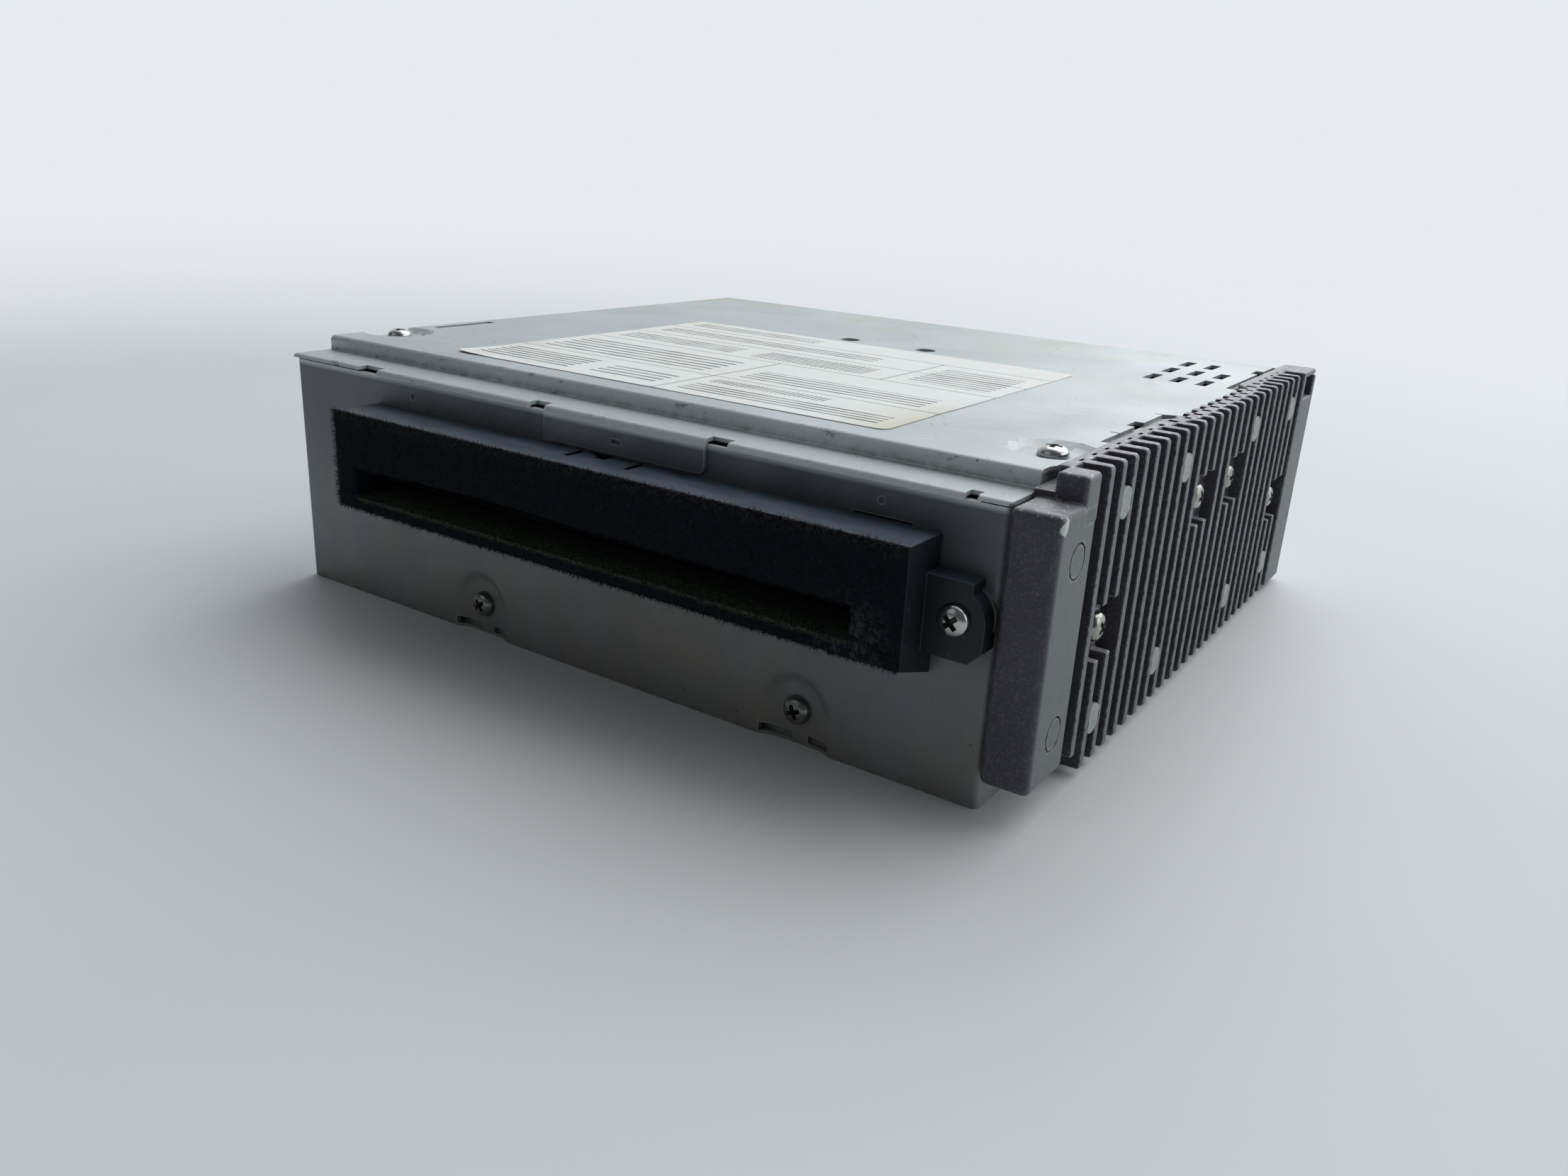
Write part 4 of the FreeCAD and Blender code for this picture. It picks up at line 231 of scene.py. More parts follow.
def finishPiece(piece, material, body, slot, *replaced, angle=35, even=True):
    chooseOnly(piece)
    bpy.ops.object.shade_smooth_by_angle(angle=math.radians(angle))
    if even:  # keeps large flat faces flat beside their rounded edges
        applyModifier(piece, "WEIGHTED_NORMAL", keep_sharp=True)
    if material is not None:
        setMaterial(piece, material)
    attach(piece, body)
    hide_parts(*replaced)


# Small helpers for materials, which add their nodes to the material in hand

hand = {}  # its tree, its shader and its colour so far


def startMaterial(name, **sockets):
    material = bpy.data.materials.new(name)
    material.use_nodes = True
    hand["tree"] = material.node_tree
    hand["shader"] = material.node_tree.nodes["Principled BSDF"]
    for socket, value in sockets.items():
        hand["shader"].inputs[socket.replace("_", " ")].default_value = value
    return material


def addNode(kind, inputs=None, out=0, **settings):  # gives one of the node's outputs
    node = hand["tree"].nodes.new("ShaderNode" + kind)
    for key, value in settings.items():
        setattr(node, key, value)
    for key, value in (inputs or {}).items():
        if isinstance(value, bpy.types.NodeSocket):
            hand["tree"].links.new(value, node.inputs[key])
        else:
            node.inputs[key].default_value = value
    return node.outputs[out]


def plug(value, node, socket):
    hand["tree"].links.new(value, hand["tree"].nodes[node].inputs[socket])


def work(operation, first, second=0.0):
    return addNode("Math", {0: first, 1: second}, operation=operation)


def times(first, *others):
    for other in others:
        first = work("MULTIPLY", first, other)
    return first


def most(first, *others):
    for other in others:
        first = work("MAXIMUM", first, other)
    return first


def spread(value, low, high, start=0.0, end=1.0):  # low to high becomes start to end
    return addNode("MapRange", {"Value": value, "From Min": low, "From Max": high,
                                "To Min": start, "To Max": end})


def here():
    return addNode("TexCoord", out="Object")


def place(stretch=(1, 1, 1), turn=0):
    return addNode("Mapping", {"Vector": here(), "Scale": stretch,
                               "Rotation": (0, 0, math.radians(turn))})


def grain(scale, detail=3, stretch=(1, 1, 1), warp=0, rough=0.55):
    return addNode("TexNoise", {"Vector": place(stretch), "Scale": scale, "Detail": detail,
                                "Roughness": rough, "Distortion": warp})


def along(axis):
    return addNode("SeparateXYZ", {"Vector": here()}, axis)


def facing(axis):
    return addNode("SeparateXYZ", {"Vector": addNode("NewGeometry", out="Normal")}, axis)


def distance(first, second):
    return addNode("VectorMath", {0: first, 1: second}, "Value", operation="DISTANCE")


def specks(scale, size, share):  # round dots in a share of the cells
    cells = addNode("TexVoronoi", {"Vector": place(), "Scale": scale}, "Distance")
    lot = addNode("SeparateColor", {"Color": cells.node.outputs["Color"]})
    return times(spread(cells, size * 0.7, size, 1, 0), work("LESS_THAN", lot, share))


# Straight fine lines, about 1 / scale apart and drawn out along a turned x axis
def scratches(scale, turn=(0, 0, 0), share=0.5, long=30):
    turned = addNode("Mapping", {
        "Vector": here(), "Scale": (long, 1, 1),
        "Rotation": [math.radians(angle) for angle in turn]}, vector_type="TEXTURE")
    line = addNode("TexNoise", {"Vector": turned, "Scale": scale, "Detail": 1})
    patch = spread(grain(scale / 14, 2), 1 - share, 1.08 - share)
    return times(spread(line, 0.66, 0.70), patch)


def wornEdges(radius, low=0.03, high=0.25):  # where the surface turns sharply
    soft = addNode("Bevel", {"Radius": mm(radius)}, samples=4)
    return spread(distance(soft, addNode("NewGeometry", out="Normal")), low, high)


def corners(reach, low=0.35, high=0.85):  # 1 in tight corners
    shut = addNode("AmbientOcclusion", {"Distance": mm(reach)}, "AO", samples=6)
    return spread(shut, low, high, 1, 0)


def blend(mask, first, second):  # starts the colour from two tones
    hand["colour"] = addNode("Mix", {0: mask, 6: first, 7: second}, 2, data_type="RGBA")


def cover(colour, *masks):  # lays another colour where all the masks are
    blend(times(*masks), hand["colour"], colour)


# Plugs in the colour, the roughness and bumps of a height, a strength and a depth in mm
def plugAll(rough, *bumps):
    normal = None
    for height, strength, depth in bumps:
        inputs = {"Height": height, "Strength": strength, "Distance": mm(depth)}
        if normal is not None:
            inputs["Normal"] = normal
        normal = addNode("Bump", inputs)
    plug(hand["colour"], "Principled BSDF", "Base Color")
    plug(normal, "Principled BSDF", "Normal")
    if rough is not None:
        plug(rough, "Principled BSDF", "Roughness")


# Camera, light and floor

cameraSet = {
    "place": (0.154558, -0.249553, 0.101081),
    "looks": (-0.51778, 0.78793, -0.33327),
    "roll": 3.16,
    "lens": 27.45,
}


def setCamera():
    lens = bpy.data.cameras.new("photoCamera")
    lens.lens = cameraSet["lens"]
    lens.sensor_width = 36
    lens.clip_start, lens.clip_end = 0.01, 60
    camera = bpy.data.objects.new("photoCamera", lens)
    scene.collection.objects.link(camera)
    turn = Vector(cameraSet["looks"]).to_track_quat("-Z", "Y").to_matrix()
    turn = turn @ Matrix.Rotation(math.radians(cameraSet["roll"]), 3, "Z")
    camera.matrix_world = Matrix.Translation(cameraSet["place"]) @ turn.to_4x4()
    scene.camera = camera


lightSet = {
    "lamps": [  # name, place, size and power
        ("windowLight", (0.25, 0.95, 1.15), 2.0, 18),
        ("sideLight", (1.2, 0.25, 0.55), 0.8, 2.0),
        ("frontFill", (-0.5, -1.1, 0.8), 0.9, 0.8)],
    "room": (0.86, 0.93, 1, 1),
    "ambientFront": 0.11,
    "ambientBack": 1.0,  # the pale wall stands behind the object
    "seen": (0.80, 0.83, 0.87, 1),
    "floor": (0.75, 0.765, 0.775, 1),
    "floorDeep": (0.72375, 0.738225, 0.747875, 1),
    "fadeFrom": 0.35,
    "fadeTo": 1.6,
}


def addLamp(name, where, size, power):
    lamp = bpy.data.lights.new(name, "AREA")
    lamp.shape = "SQUARE"
    lamp.size = size
    lamp.energy = power
    holder = bpy.data.objects.new(name, lamp)
    holder.location = where
    holder.rotation_euler = (-Vector(where)).to_track_quat("-Z", "Y").to_euler()
    scene.collection.objects.link(holder)


# Rays that see the pale backdrop as it is; mirrored ones only on the far side of the object
def backdropRays(behind):
    camera, clear, glossy = [addNode("LightPath", out=f"Is {kind} Ray")
                             for kind in ("Camera", "Transmission", "Glossy")]
    return most(camera, clear, times(glossy, behind))


def setRoom():
    for lamp in lightSet["lamps"]:
        addLamp(*lamp)
    world = bpy.data.worlds.new("paleRoom")
    scene.world = world
    world.use_nodes = True
    hand["tree"] = world.node_tree
    shown = world.node_tree.nodes["Background"]
    shown.inputs["Color"].default_value = lightSet["seen"]
    toward = addNode("SeparateXYZ", {"Vector": addNode("TexCoord", out="Generated")}, "Y")
    behind = spread(toward, -0.25, 0.9)
    level = spread(behind, 0, 1, lightSet["ambientFront"], lightSet["ambientBack"])
    room = addNode("Background", {"Color": lightSet["room"], "Strength": level})
    pair = addNode("MixShader", {0: backdropRays(behind), 1: room, 2: shown.outputs[0]})
    plug(pair, "World Output", "Surface")


def setFloor():
    chooseOnly()
    bpy.ops.mesh.primitive_plane_add(size=24, location=(0, 0, 0))
    floor = bpy.context.object
    floor.name = "studioFloor"
    floor.data.materials.append(startMaterial("paleFloor", Roughness=0.62))
    blend(spread(grain(5, 4), 0.35, 0.65), lightSet["floor"], lightSet["floorDeep"])
    plugAll(None, (grain(900, 2), 0.15, 0.05))
    away = addNode("VectorMath", {0: here()}, "Value", operation="LENGTH")
    fade = addNode("MapRange", {  # even on screen, where far floor takes little height
        "Value": work("DIVIDE", 1, away), "From Min": 1 / lightSet["fadeFrom"],
        "From Max": 1 / lightSet["fadeTo"]}, interpolation_type="SMOOTHSTEP")
    fade = times(fade, backdropRays(spread(along("Y"), 0, 0.5)))
    haze = addNode("Emission", {"Color": lightSet["seen"]})
    pair = addNode("MixShader", {0: fade, 1: hand["shader"].outputs[0], 2: haze})
    plug(pair, "Material Output", "Surface")


setCamera()
setRoom()
setFloor()
print("camera, light and floor set")


# Materials

zincSet = {
    "pale": (0.52, 0.565, 0.57, 1),
    "deep": (0.42, 0.46, 0.465, 1),
    "dirtAndShade": (0.10, 0.085, 0.065, 1),
    "stain": (0.46, 0.45, 0.33, 1),
    "frontShade": (0.15, 0.152, 0.168, 1),
    "paintedReflection": (0.25, 0.23, 0.165, 1),
    "shade": (0.055, 0.060, 0.082, 1),
    "chip": (0.11, 0.11, 0.10, 1),
    "metal": 0.55,
    "paintedLight": (0.74, 0.81, 0.82, 1),
    "lipUnder": 0.0517,
    "lipOver": 0.0527,
}


# Zinc-plated sheet: cloudy grey with fine grain, specks of dirt, scratches, dirt and painted shade in its
# corners, painted shade and a painted light lip on its front faces
def zincSheet(name, stained=0.0, grimeAndShadeLevel=0.6, darker=1.0, upright=False):
    z = zincSet
    material = startMaterial(name, Metallic=z["metal"])
    pale, deep = [(*[c * darker for c in z[tone][:3]], 1) for tone in ("pale", "deep")]
    cloud = spread(grain(26, 4, warp=0.6), 0.3, 0.7)
    fine = grain(1700, 2)
    blend(cloud, pale, deep)
    cover(deep, spread(fine, 0.35, 0.75, 0, 0.30))
    cover(pale, spread(grain(60, 3, (1, 22, 22)), 0.5, 0.75, 0, 0.22))
    if stained:
        patch = spread(grain(38, 5, warp=1.2), 0.47, 0.66)
        cover(z["stain"], spread(along("Y"), -0.01, 0.06), patch, stained)
    lines = scratches(1500, (0, 18, 0) if upright else (0, 0, 24), 0.48)
    hair = scratches(1900, (0, -40, 0) if upright else (0, 0, -52), 0.45, 18)
    marked = 0.12 if upright else 0.45
    cover((0.74, 0.77, 0.78, 1), lines, marked)
    cover((0.20, 0.20, 0.19, 1), hair, marked)
    front = times(spread(facing("Y"), -0.95, -0.55, 1, 0), spread(grain(55, 4), 0.25, 0.6, 0.7, 1))
    shadedFront = times(front, spread(along("Z"), z["lipUnder"], z["lipOver"], 1, 0))
    # painted shade on the faces that look to the front, below the cover's lip
    cover(z["frontShade"], shadedFront, 0.78)
    cover(z["paintedLight"], work("SUBTRACT", front, shadedFront), 0.6)  # painted light on the cover's front-facing lip
    cover(z["shade"], spread(along("Z"), 0.022, 0.046), spread(along("X"), -0.085, 0.02, 0.2, 1),
          shadedFront, 0.68)  # painted shade, darker still at the upper right
    if upright:
        # painted reflection: an olive tint low on the walls
        paintedReflection = spread(grain(70, 5, (1, 1, 0.5), warp=0.7), 0.36, 0.66)
        cover(z["paintedReflection"], spread(along("Z"), 0.006, 0.036, 1, 0), paintedReflection, 0.6)
    # rubbed edges, with painted highlight along them
    cover((0.78, 0.80, 0.80, 1), wornEdges(0.25), 0.55)
    if stained:  # small dark chips along the folds
        chips = spread(grain(620, 4, (0.5, 1, 1), rough=0.7), 0.60, 0.66)
        cover(z["chip"], wornEdges(1.1, 0.02, 0.12), chips, 0.75)
    # brown dirt and painted shade in tight corners
    dust = times(corners(3.5), spread(grain(420, 4), 0.36, 0.62), grimeAndShadeLevel)
    cover(z["dirtAndShade"], dust)
    cover((0.09, 0.08, 0.07, 1), most(specks(230, 0.06, 0.14), specks(640, 0.11, 0.10)), 0.8)
    rough = work("ADD", spread(cloud, 0, 1, 0.44, 0.54), times(dust, 0.3))
    plugAll(rough, (fine, 0.10, 0.03), (lines, -0.3, 0.03), (grain(14, 2), 0.25, 0.5))
    return material


castSet = {
    "deep": (0.047, 0.045, 0.061, 1),
    "pale": (0.070, 0.067, 0.084, 1),
    "worn": (0.46, 0.46, 0.48, 1),
    "bare": (0.54, 0.56, 0.54, 1),
    "ground": (0.155, 0.170, 0.168, 1),
    "chipAt": (0.0944, -0.0822, 0.0520),
}


# Dark cast metal, lighter where its pads are ground bare and where its edges are rubbed; painted light on
# its outer face and its tops, painted highlight along its edges and painted shade in its corners
def castMetal(name, bright=0.0):
    c = castSet
    material = startMaterial(name, Metallic=0.35)
    sand = grain(2100, 2)
    blend(spread(grain(45, 4), 0.3, 0.7), c["deep"], c["pale"])
    cover(c["worn"], spread(sand, 0.5, 0.72, 0, 0.14))
    outer = spread(along("X"), 0.0942, 0.09455)  # the outer face, painted lighter as light from the side
    cover(c["ground"], outer, spread(facing("X"), 0.6, 0.95), 0.85)
    # rubbed edges and tops, with painted highlight along the edges and painted light on every up-facing face
    worn = times(wornEdges(0.45, 0.05, 0.4), spread(grain(700, 3), 0.35, 0.6))
    paintedLight = times(spread(facing("Z"), 0.5, 0.95), spread(grain(420, 4), 0.3, 0.62, 0.38, 0.66))
    cover(c["worn"], most(worn, paintedLight))
    # painted glints: bright specks on the up-facing faces
    cover((0.75, 0.75, 0.76, 1), spread(facing("Z"), 0.3, 0.8),
          spread(grain(1500, 3), 0.60, 0.66), 0.8)
    if bright:  # the pads are ground bare, with chips along their rims
        cover(c["bare"], spread(grain(900, 3), 0.3, 0.6, bright * 0.55, bright))
    chip = work("ADD", spread(distance(here(), c["chipAt"]), 0.0003, 0.0018, 1, 0),
                spread(grain(600, 3), 0.35, 0.65, -0.5, 0.2))
    cover(c["bare"], spread(chip, 0.3, 0.45))  # a knocked corner
    cover((0.45, 0.44, 0.43, 1), specks(620, 0.09, 0.06), 0.5)
    # painted shade in tight corners
    cover((0.05, 0.048, 0.05, 1), corners(2.5, 0.2, 0.7), spread(grain(300, 3), 0.4, 0.65, 0, 0.5))
    plugAll(spread(sand, 0.3, 0.7, 0.42, 0.62), (sand, 0.55, 0.06), (grain(480, 3), 0.25, 0.08))
    return material


plasticSet = {
    "black": (0.007, 0.009, 0.013, 1),
    "sheen": (0.050, 0.066, 0.092, 1),
    "paintedReflection": (0.115, 0.150, 0.200, 1),
    "dust": (0.17, 0.155, 0.13, 1),
}


def dustyPlastic(name, dusty=1.0):
    p = plasticSet
    material = startMaterial(name, IOR=1.49, Specular_IOR_Level=0.35)
    blend(times(spread(grain(60, 3), 0.3, 0.7), 0.08), p["black"], p["sheen"])
    up = spread(facing("Z"), 0.4, 0.95)
    # dust and painted sheen on the up-facing faces
    cover(p["paintedReflection"], up, spread(grain(90, 5, (1, 3, 1)), 0.3, 0.7, 0.35, 0.9), 0.85 * dusty)
    left = spread(along("X"), -0.066, -0.02, 1, 0)  # browner at the left end
    cover(p["dust"], left, spread(grain(260, 4), 0.42, 0.66), up, 0.5 * dusty)
    cover((0.22, 0.22, 0.21, 1), specks(560, 0.09, 0.10 * dusty), 0.35)
    marks = scratches(1600, (0, 0, 30), 0.42, 20)
    cover((0.14, 0.15, 0.17, 1), marks, 0.35)
    cover((0.13, 0.14, 0.15, 1), wornEdges(0.2, 0.05, 0.35), 0.3)
    plugAll(spread(grain(120, 4), 0.3, 0.7, 0.36, 0.55), (grain(2600, 2), 0.22, 0.04),
            (marks, -0.2, 0.03))
    return material


feltSet = {
    "navy": (0.0045, 0.007, 0.013, 1),
    "grey": (0.024, 0.032, 0.046, 1),
    "green": (0.16, 0.215, 0.12, 1),
    "tips": (0.105, 0.092, 0.075, 1),
    "scuff": (0.10, 0.115, 0.12, 1),
    "scuffAt": (0.0655, -0.0935, 0.0300),
}


def feltCloth(name):
    f = feltSet
    material = startMaterial(name, Roughness=0.95, Specular_IOR_Level=0.08, Sheen_Weight=0.02,
                             Sheen_Roughness=0.6)
    matted = grain(1100, 5, warp=2.5, rough=0.75)
    blend(spread(matted, 0.52, 0.70), f["navy"], f["grey"])
    # the slot's floor felt is green, painted brighter as light on its up-facing faces
    lying = spread(along("Z"), 0.0292, 0.0302, 1, 0)
    cover(f["green"], lying, spread(facing("Z"), 0.15, 0.6), spread(matted, 0.4, 0.62), 0.9)
    top = spread(along("Z"), 0.0440, 0.0468)
    cover(f["tips"], top, spread(grain(1500, 4, warp=1), 0.46, 0.7), 0.6)
    scuff = spread(distance(here(), f["scuffAt"]), 0.002, 0.009, 1, 0)
    cover(f["scuff"], scuff, spread(grain(800, 4, warp=1), 0.45, 0.65), 0.7)
    cover(f["tips"], specks(700, 0.12, 0.10), 0.5)
    plugAll(None, (matted, 1.0, 0.45), (grain(2600, 4, warp=1.5, rough=0.7), 0.9, 0.2))
    return material


def feltHair(name):
    material = startMaterial(name, Roughness=0.9, Specular_IOR_Level=0.1)
    tone = spread(grain(1200, 2), 0.38, 0.66)
    blend(tone, feltSet["navy"], feltSet["grey"])
    cover(feltSet["tips"], tone, spread(along("Z"), 0.0455, 0.0468))  # paler along the top edge
    plugAll(None, (grain(5000, 2), 0.3, 0.02))
    return material


labelSet = {
    "paper": (0.88, 0.895, 0.865, 1),
    "aged": (0.64, 0.58, 0.40, 1),
    "ink": (0.10, 0.10, 0.105, 1),
    "low": (35.5, 16.5),
    "size": (112, 91),
    "rule": 0.4,
    "rulesAcross": [20.5, 46, 62, 77],
    "rulesAlong": [(57.5, 0, 46), (84, 46, 77)],
    "bars": [  # two corners, axis, step and share of each block of plain bars
        ((3, 3), (30, 17), "Y", 2.2, 0.40), ((36, 5), (54, 15), "Y", 2.6, 0.35),
        ((61, 3), (108, 12), "Y", 2.0, 0.40), ((61, 14), (90, 18), "X", 1.1, 0.50),
        ((4, 24), (52, 42), "Y", 3.0, 0.35), ((62, 24), (106, 34), "Y", 2.4, 0.35),
        ((4, 50), (40, 58), "Y", 2.2, 0.40), ((46, 49), (78, 59), "X", 1.3, 0.45),
        ((88, 50), (108, 73), "Y", 2.6, 0.35), ((4, 66), (70, 73), "Y", 2.4, 0.38),
        ((4, 81), (44, 87), "Y", 2.4, 0.35)],
}


def onPaper(x, y):  # a place on the label, in mm from its front left corner
    return at(labelSet["low"][0] + x, labelSet["low"][1] + y, 0)


def labelWindow(low, high):  # 1 between two corners
    sides = [work(way, along(axis), onPaper(*corner)["XY".index(axis)])
             for axis in ("X", "Y") for way, corner in (("GREATER_THAN", low), ("LESS_THAN", high))]
    return times(*sides)


def plainBars(low, high, axis, step, share):  # even bars that fill a window
    start = onPaper(0, 0)["XY".index(axis)]
    bar = work("FRACT", work("DIVIDE", work("SUBTRACT", along(axis), start), mm(step)))
    return times(work("LESS_THAN", bar, share), labelWindow(low, high))


def agedPaper(name):
    material = startMaterial(name)
    width, length = labelSet["size"]
    cloud = spread(grain(30, 5, warp=0.8), 0.35, 0.7)
    blend(times(cloud, 0.10), labelSet["paper"], labelSet["aged"])
    middle = onPaper(width / 2, length / 2)
    across, endways = [
        times(work("ABSOLUTE", work("SUBTRACT", along(axis), centre)), 2 / mm(size))
        for axis, centre, size in (("X", middle.x, width), ("Y", middle.y, length))]
    cover(labelSet["aged"], spread(across, 0.78, 0.99), spread(endways, 0.1, 0.9),
          spread(grain(34, 5, warp=0.9), 0.42, 0.62), 0.85)  # yellowed at both sides
    rule = labelSet["rule"]
    lines = [labelWindow((0, y), (width, y + rule)) for y in labelSet["rulesAcross"]]
    lines += [labelWindow((x, y), (x + rule, end)) for x, y, end in labelSet["rulesAlong"]]
    ink = most(*[plainBars(*block) for block in labelSet["bars"]])
    faded = spread(grain(160, 5), 0.34, 0.6, 0.6, 1)
    cover(labelSet["ink"], most(times(ink, faded), times(most(*lines), 0.85)))
    cover((0.2, 0.17, 0.12, 1), specks(260, 0.10, 0.14), 0.6)
    cover((0.62, 0.62, 0.6, 1), scratches(1500, (0, 0, 25), 0.4, 16), 0.5)
    plugAll(spread(cloud, 0, 1, 0.5, 0.7), (grain(1500, 3), 0.2, 0.03), (grain(60, 3), 0.35, 0.25))
    return material


# Bare or plated metal: a cloudy base, fine brushing along an axis, small marks and rubbed edges
def plainMetal(name, base, deep, metallic=1.0, rough=(0.24, 0.4), brushed=(1, 1, 1),
               dirtAndShade=0.5, dirtAndShadeColour=(0.05, 0.045, 0.035, 1), worn=0.3, reach=1.2):
    material = startMaterial(name, Metallic=metallic)
    brush = grain(500, 3, brushed)
    blend(spread(grain(120, 4, warp=0.5), 0.3, 0.7), base, deep)
    cover(deep, spread(brush, 0.45, 0.75, 0, 0.35))
    cover((0.86, 0.86, 0.84, 1), wornEdges(0.15, 0.05, 0.35), worn)
    # dirt and painted shade in tight corners
    grimeAndShade = times(corners(reach, 0.25, 0.8), spread(grain(800, 3), 0.3, 0.6), dirtAndShade)
    cover(dirtAndShadeColour, grimeAndShade)
    plugAll(work("ADD", spread(brush, 0.3, 0.7, *rough), times(grimeAndShade, 0.3)),
            (brush, 0.12, 0.02), (grain(2200, 2), 0.08, 0.02))
    return material


# Moulded plastic, rubber and resin: a tint that drifts, a fine mat surface, dust and small nicks
def plainMould(name, base, other, rough=(0.4, 0.6), mat=0.25, dust=(0.35, 0.33, 0.30, 1), dusty=0.25):
    material = startMaterial(name)
    blend(spread(grain(90, 4), 0.3, 0.7), base, other)
    cover(dust, spread(facing("Z"), 0.3, 0.95), spread(grain(300, 4), 0.42, 0.7), dusty)
    nicks = scratches(2000, (0, 0, 40), 0.35, 12)
    cover(other, nicks, 0.35)
    cover(dust, wornEdges(0.12, 0.05, 0.35), 0.25)
    fine = grain(2400, 2)
    plugAll(spread(fine, 0.3, 0.7, *rough), (fine, mat, 0.03), (nicks, -0.2, 0.03))
    return material


boardSet = {
    "mask": (0.012, 0.085, 0.030, 1),
    "light": (0.030, 0.16, 0.055, 1),
    "tin": (0.60, 0.60, 0.57, 1),
    "dust": (0.3, 0.28, 0.24, 1),
}


# Circuit board: solder mask over straight tracks, tinned rings round its holes and a little dust
def circuitBoard(name):
    material = startMaterial(name, Coat_Weight=0.2)
    cloud = spread(grain(70, 3), 0.3, 0.7)
    blend(times(cloud, 0.3), boardSet["mask"], boardSet["light"])
    lanes = []
    for turn, scale, side, share in ((0, 420, "LESS_THAN", 0.38), (90, 360, "GREATER_THAN", 0.62)):
        lane = work("FRACT", times(addNode("SeparateXYZ", {"Vector": place(turn=turn)}), scale))
        lane = spread(work("ABSOLUTE", work("SUBTRACT", lane, 0.5)), 0.2, 0.24, 1, 0)
        patch = addNode("TexVoronoi", {"Vector": place(), "Scale": 70}, "Color",
                        distance="CHEBYCHEV")
        lot = addNode("SeparateColor", {"Color": patch})
        lanes.append(times(lane, work(side, lot, share)))
    tracks = most(*lanes)
    cover(boardSet["light"], tracks, 0.8)
    pads = specks(380, 0.20, 0.30)
    cover(boardSet["tin"], pads)
    cover(boardSet["dust"], spread(facing("Z"), 0.5, 0.95), spread(grain(220, 4), 0.5, 0.75, 0, 0.3))
    plug(times(pads, 0.9), "Principled BSDF", "Metallic")
    plugAll(spread(cloud, 0, 1, 0.28, 0.42), (tracks, 0.4, 0.04), (pads, 0.5, 0.08))
    return material


def lensGlass(name):
    material = startMaterial(name, IOR=1.5, Coat_Weight=0.6)
    blend(spread(grain(900, 3), 0.3, 0.7), (0.10, 0.13, 0.30, 1), (0.16, 0.12, 0.34, 1))
    smear = spread(grain(700, 4, (1, 3, 1)), 0.4, 0.7)
    plugAll(spread(smear, 0, 1, 0.03, 0.14), (smear, 0.05, 0.01))
    return material


coverZinc = zincSheet("coverZinc", stained=0.55, grimeAndShadeLevel=0.6)
# the walls are the same zinc, painted darker as shade
wallZinc = zincSheet("wallZinc", grimeAndShadeLevel=0.55, darker=0.74, upright=True)
panZinc = zincSheet("panZinc", grimeAndShadeLevel=0.45, darker=0.95)
castDark = castMetal("castDark")
castPad = castMetal("castPad", 0.5)
throatPlastic = dustyPlastic("throatPlastic")
socketPlastic = dustyPlastic("socketPlastic", 0.4)
lensPlastic = plainMould("lensPlastic", (0.02, 0.02, 0.022, 1), (0.035, 0.035, 0.04, 1),
                         (0.3, 0.45), dusty=0.08)
felt = feltCloth("navyFelt")
feltHairs = feltHair("feltHairs")
paper = agedPaper("agedPaper")
# the screws get near-black painted shade in their recesses and corners
screwShade = {"dirtAndShade": 0.9, "dirtAndShadeColour": (0.015, 0.014, 0.012, 1), "reach": 1.0}
nickel = plainMetal("nickelScrew", (0.58, 0.59, 0.57, 1), (0.42, 0.43, 0.42, 1),
                    rough=(0.16, 0.30), **screwShade)
dullNickel = plainMetal("dullNickel", (0.30, 0.30, 0.29, 1), (0.17, 0.17, 0.17, 1),
                        rough=(0.22, 0.36), **screwShade)
oiledNickel = plainMetal("oiledNickel", (0.44, 0.46, 0.41, 1), (0.20, 0.22, 0.18, 1),
                         rough=(0.16, 0.30), **screwShade)
# near black, painted as shade inside the screws' cross recesses
recessShade = plainMould("recessShade", (0.020, 0.018, 0.015, 1), (0.045, 0.040, 0.033, 1),
                       (0.35, 0.6), 0.4, dusty=0.1)
rolledSteel = plainMetal("rolledSteel", (0.50, 0.51, 0.51, 1), (0.40, 0.41, 0.42, 1), 0.85,
                         (0.30, 0.44), (1, 14, 14), 0.35)
groundShaft = plainMetal("groundShaft", (0.64, 0.64, 0.63, 1), (0.52, 0.52, 0.52, 1),
                         rough=(0.12, 0.24), brushed=(20, 1, 1), dirtAndShade=0.35)
tinPlate = plainMetal("tinPlate", (0.60, 0.60, 0.57, 1), (0.48, 0.48, 0.45, 1), 0.9,
                      (0.26, 0.42), dirtAndShade=0.5)
brass = plainMetal("brassPin", (0.72, 0.55, 0.24, 1), (0.52, 0.38, 0.16, 1), rough=(0.2, 0.34),
                   dirtAndShade=0.4)
chipResin = plainMould("chipResin", (0.022, 0.022, 0.023, 1), (0.040, 0.040, 0.042, 1),
                       (0.45, 0.65), 0.35)
canSleeve = plainMould("canSleeve", (0.012, 0.018, 0.050, 1), (0.022, 0.030, 0.075, 1),
                       (0.22, 0.34), 0.08, dusty=0.2)
ribbonFilm = plainMould("ribbonFilm", (0.46, 0.22, 0.045, 1), (0.34, 0.15, 0.03, 1),
                        (0.2, 0.32), 0.05, dusty=0.1)
softRubber = plainMould("softRubber", (0.018, 0.018, 0.019, 1), (0.035, 0.034, 0.034, 1),
                        (0.65, 0.85), 0.4, dusty=0.3)
rollerRubber = plainMould("rollerRubber", (0.035, 0.034, 0.036, 1), (0.060, 0.058, 0.058, 1),
                          (0.7, 0.9), 0.5, dusty=0.35)
paleGear = plainMould("paleGear", (0.74, 0.73, 0.68, 1), (0.66, 0.64, 0.57, 1), (0.32, 0.48),
                      0.1, (0.45, 0.40, 0.32, 1), 0.3)
greenBoard = circuitBoard("greenBoard")
clearLens = lensGlass("clearLens")

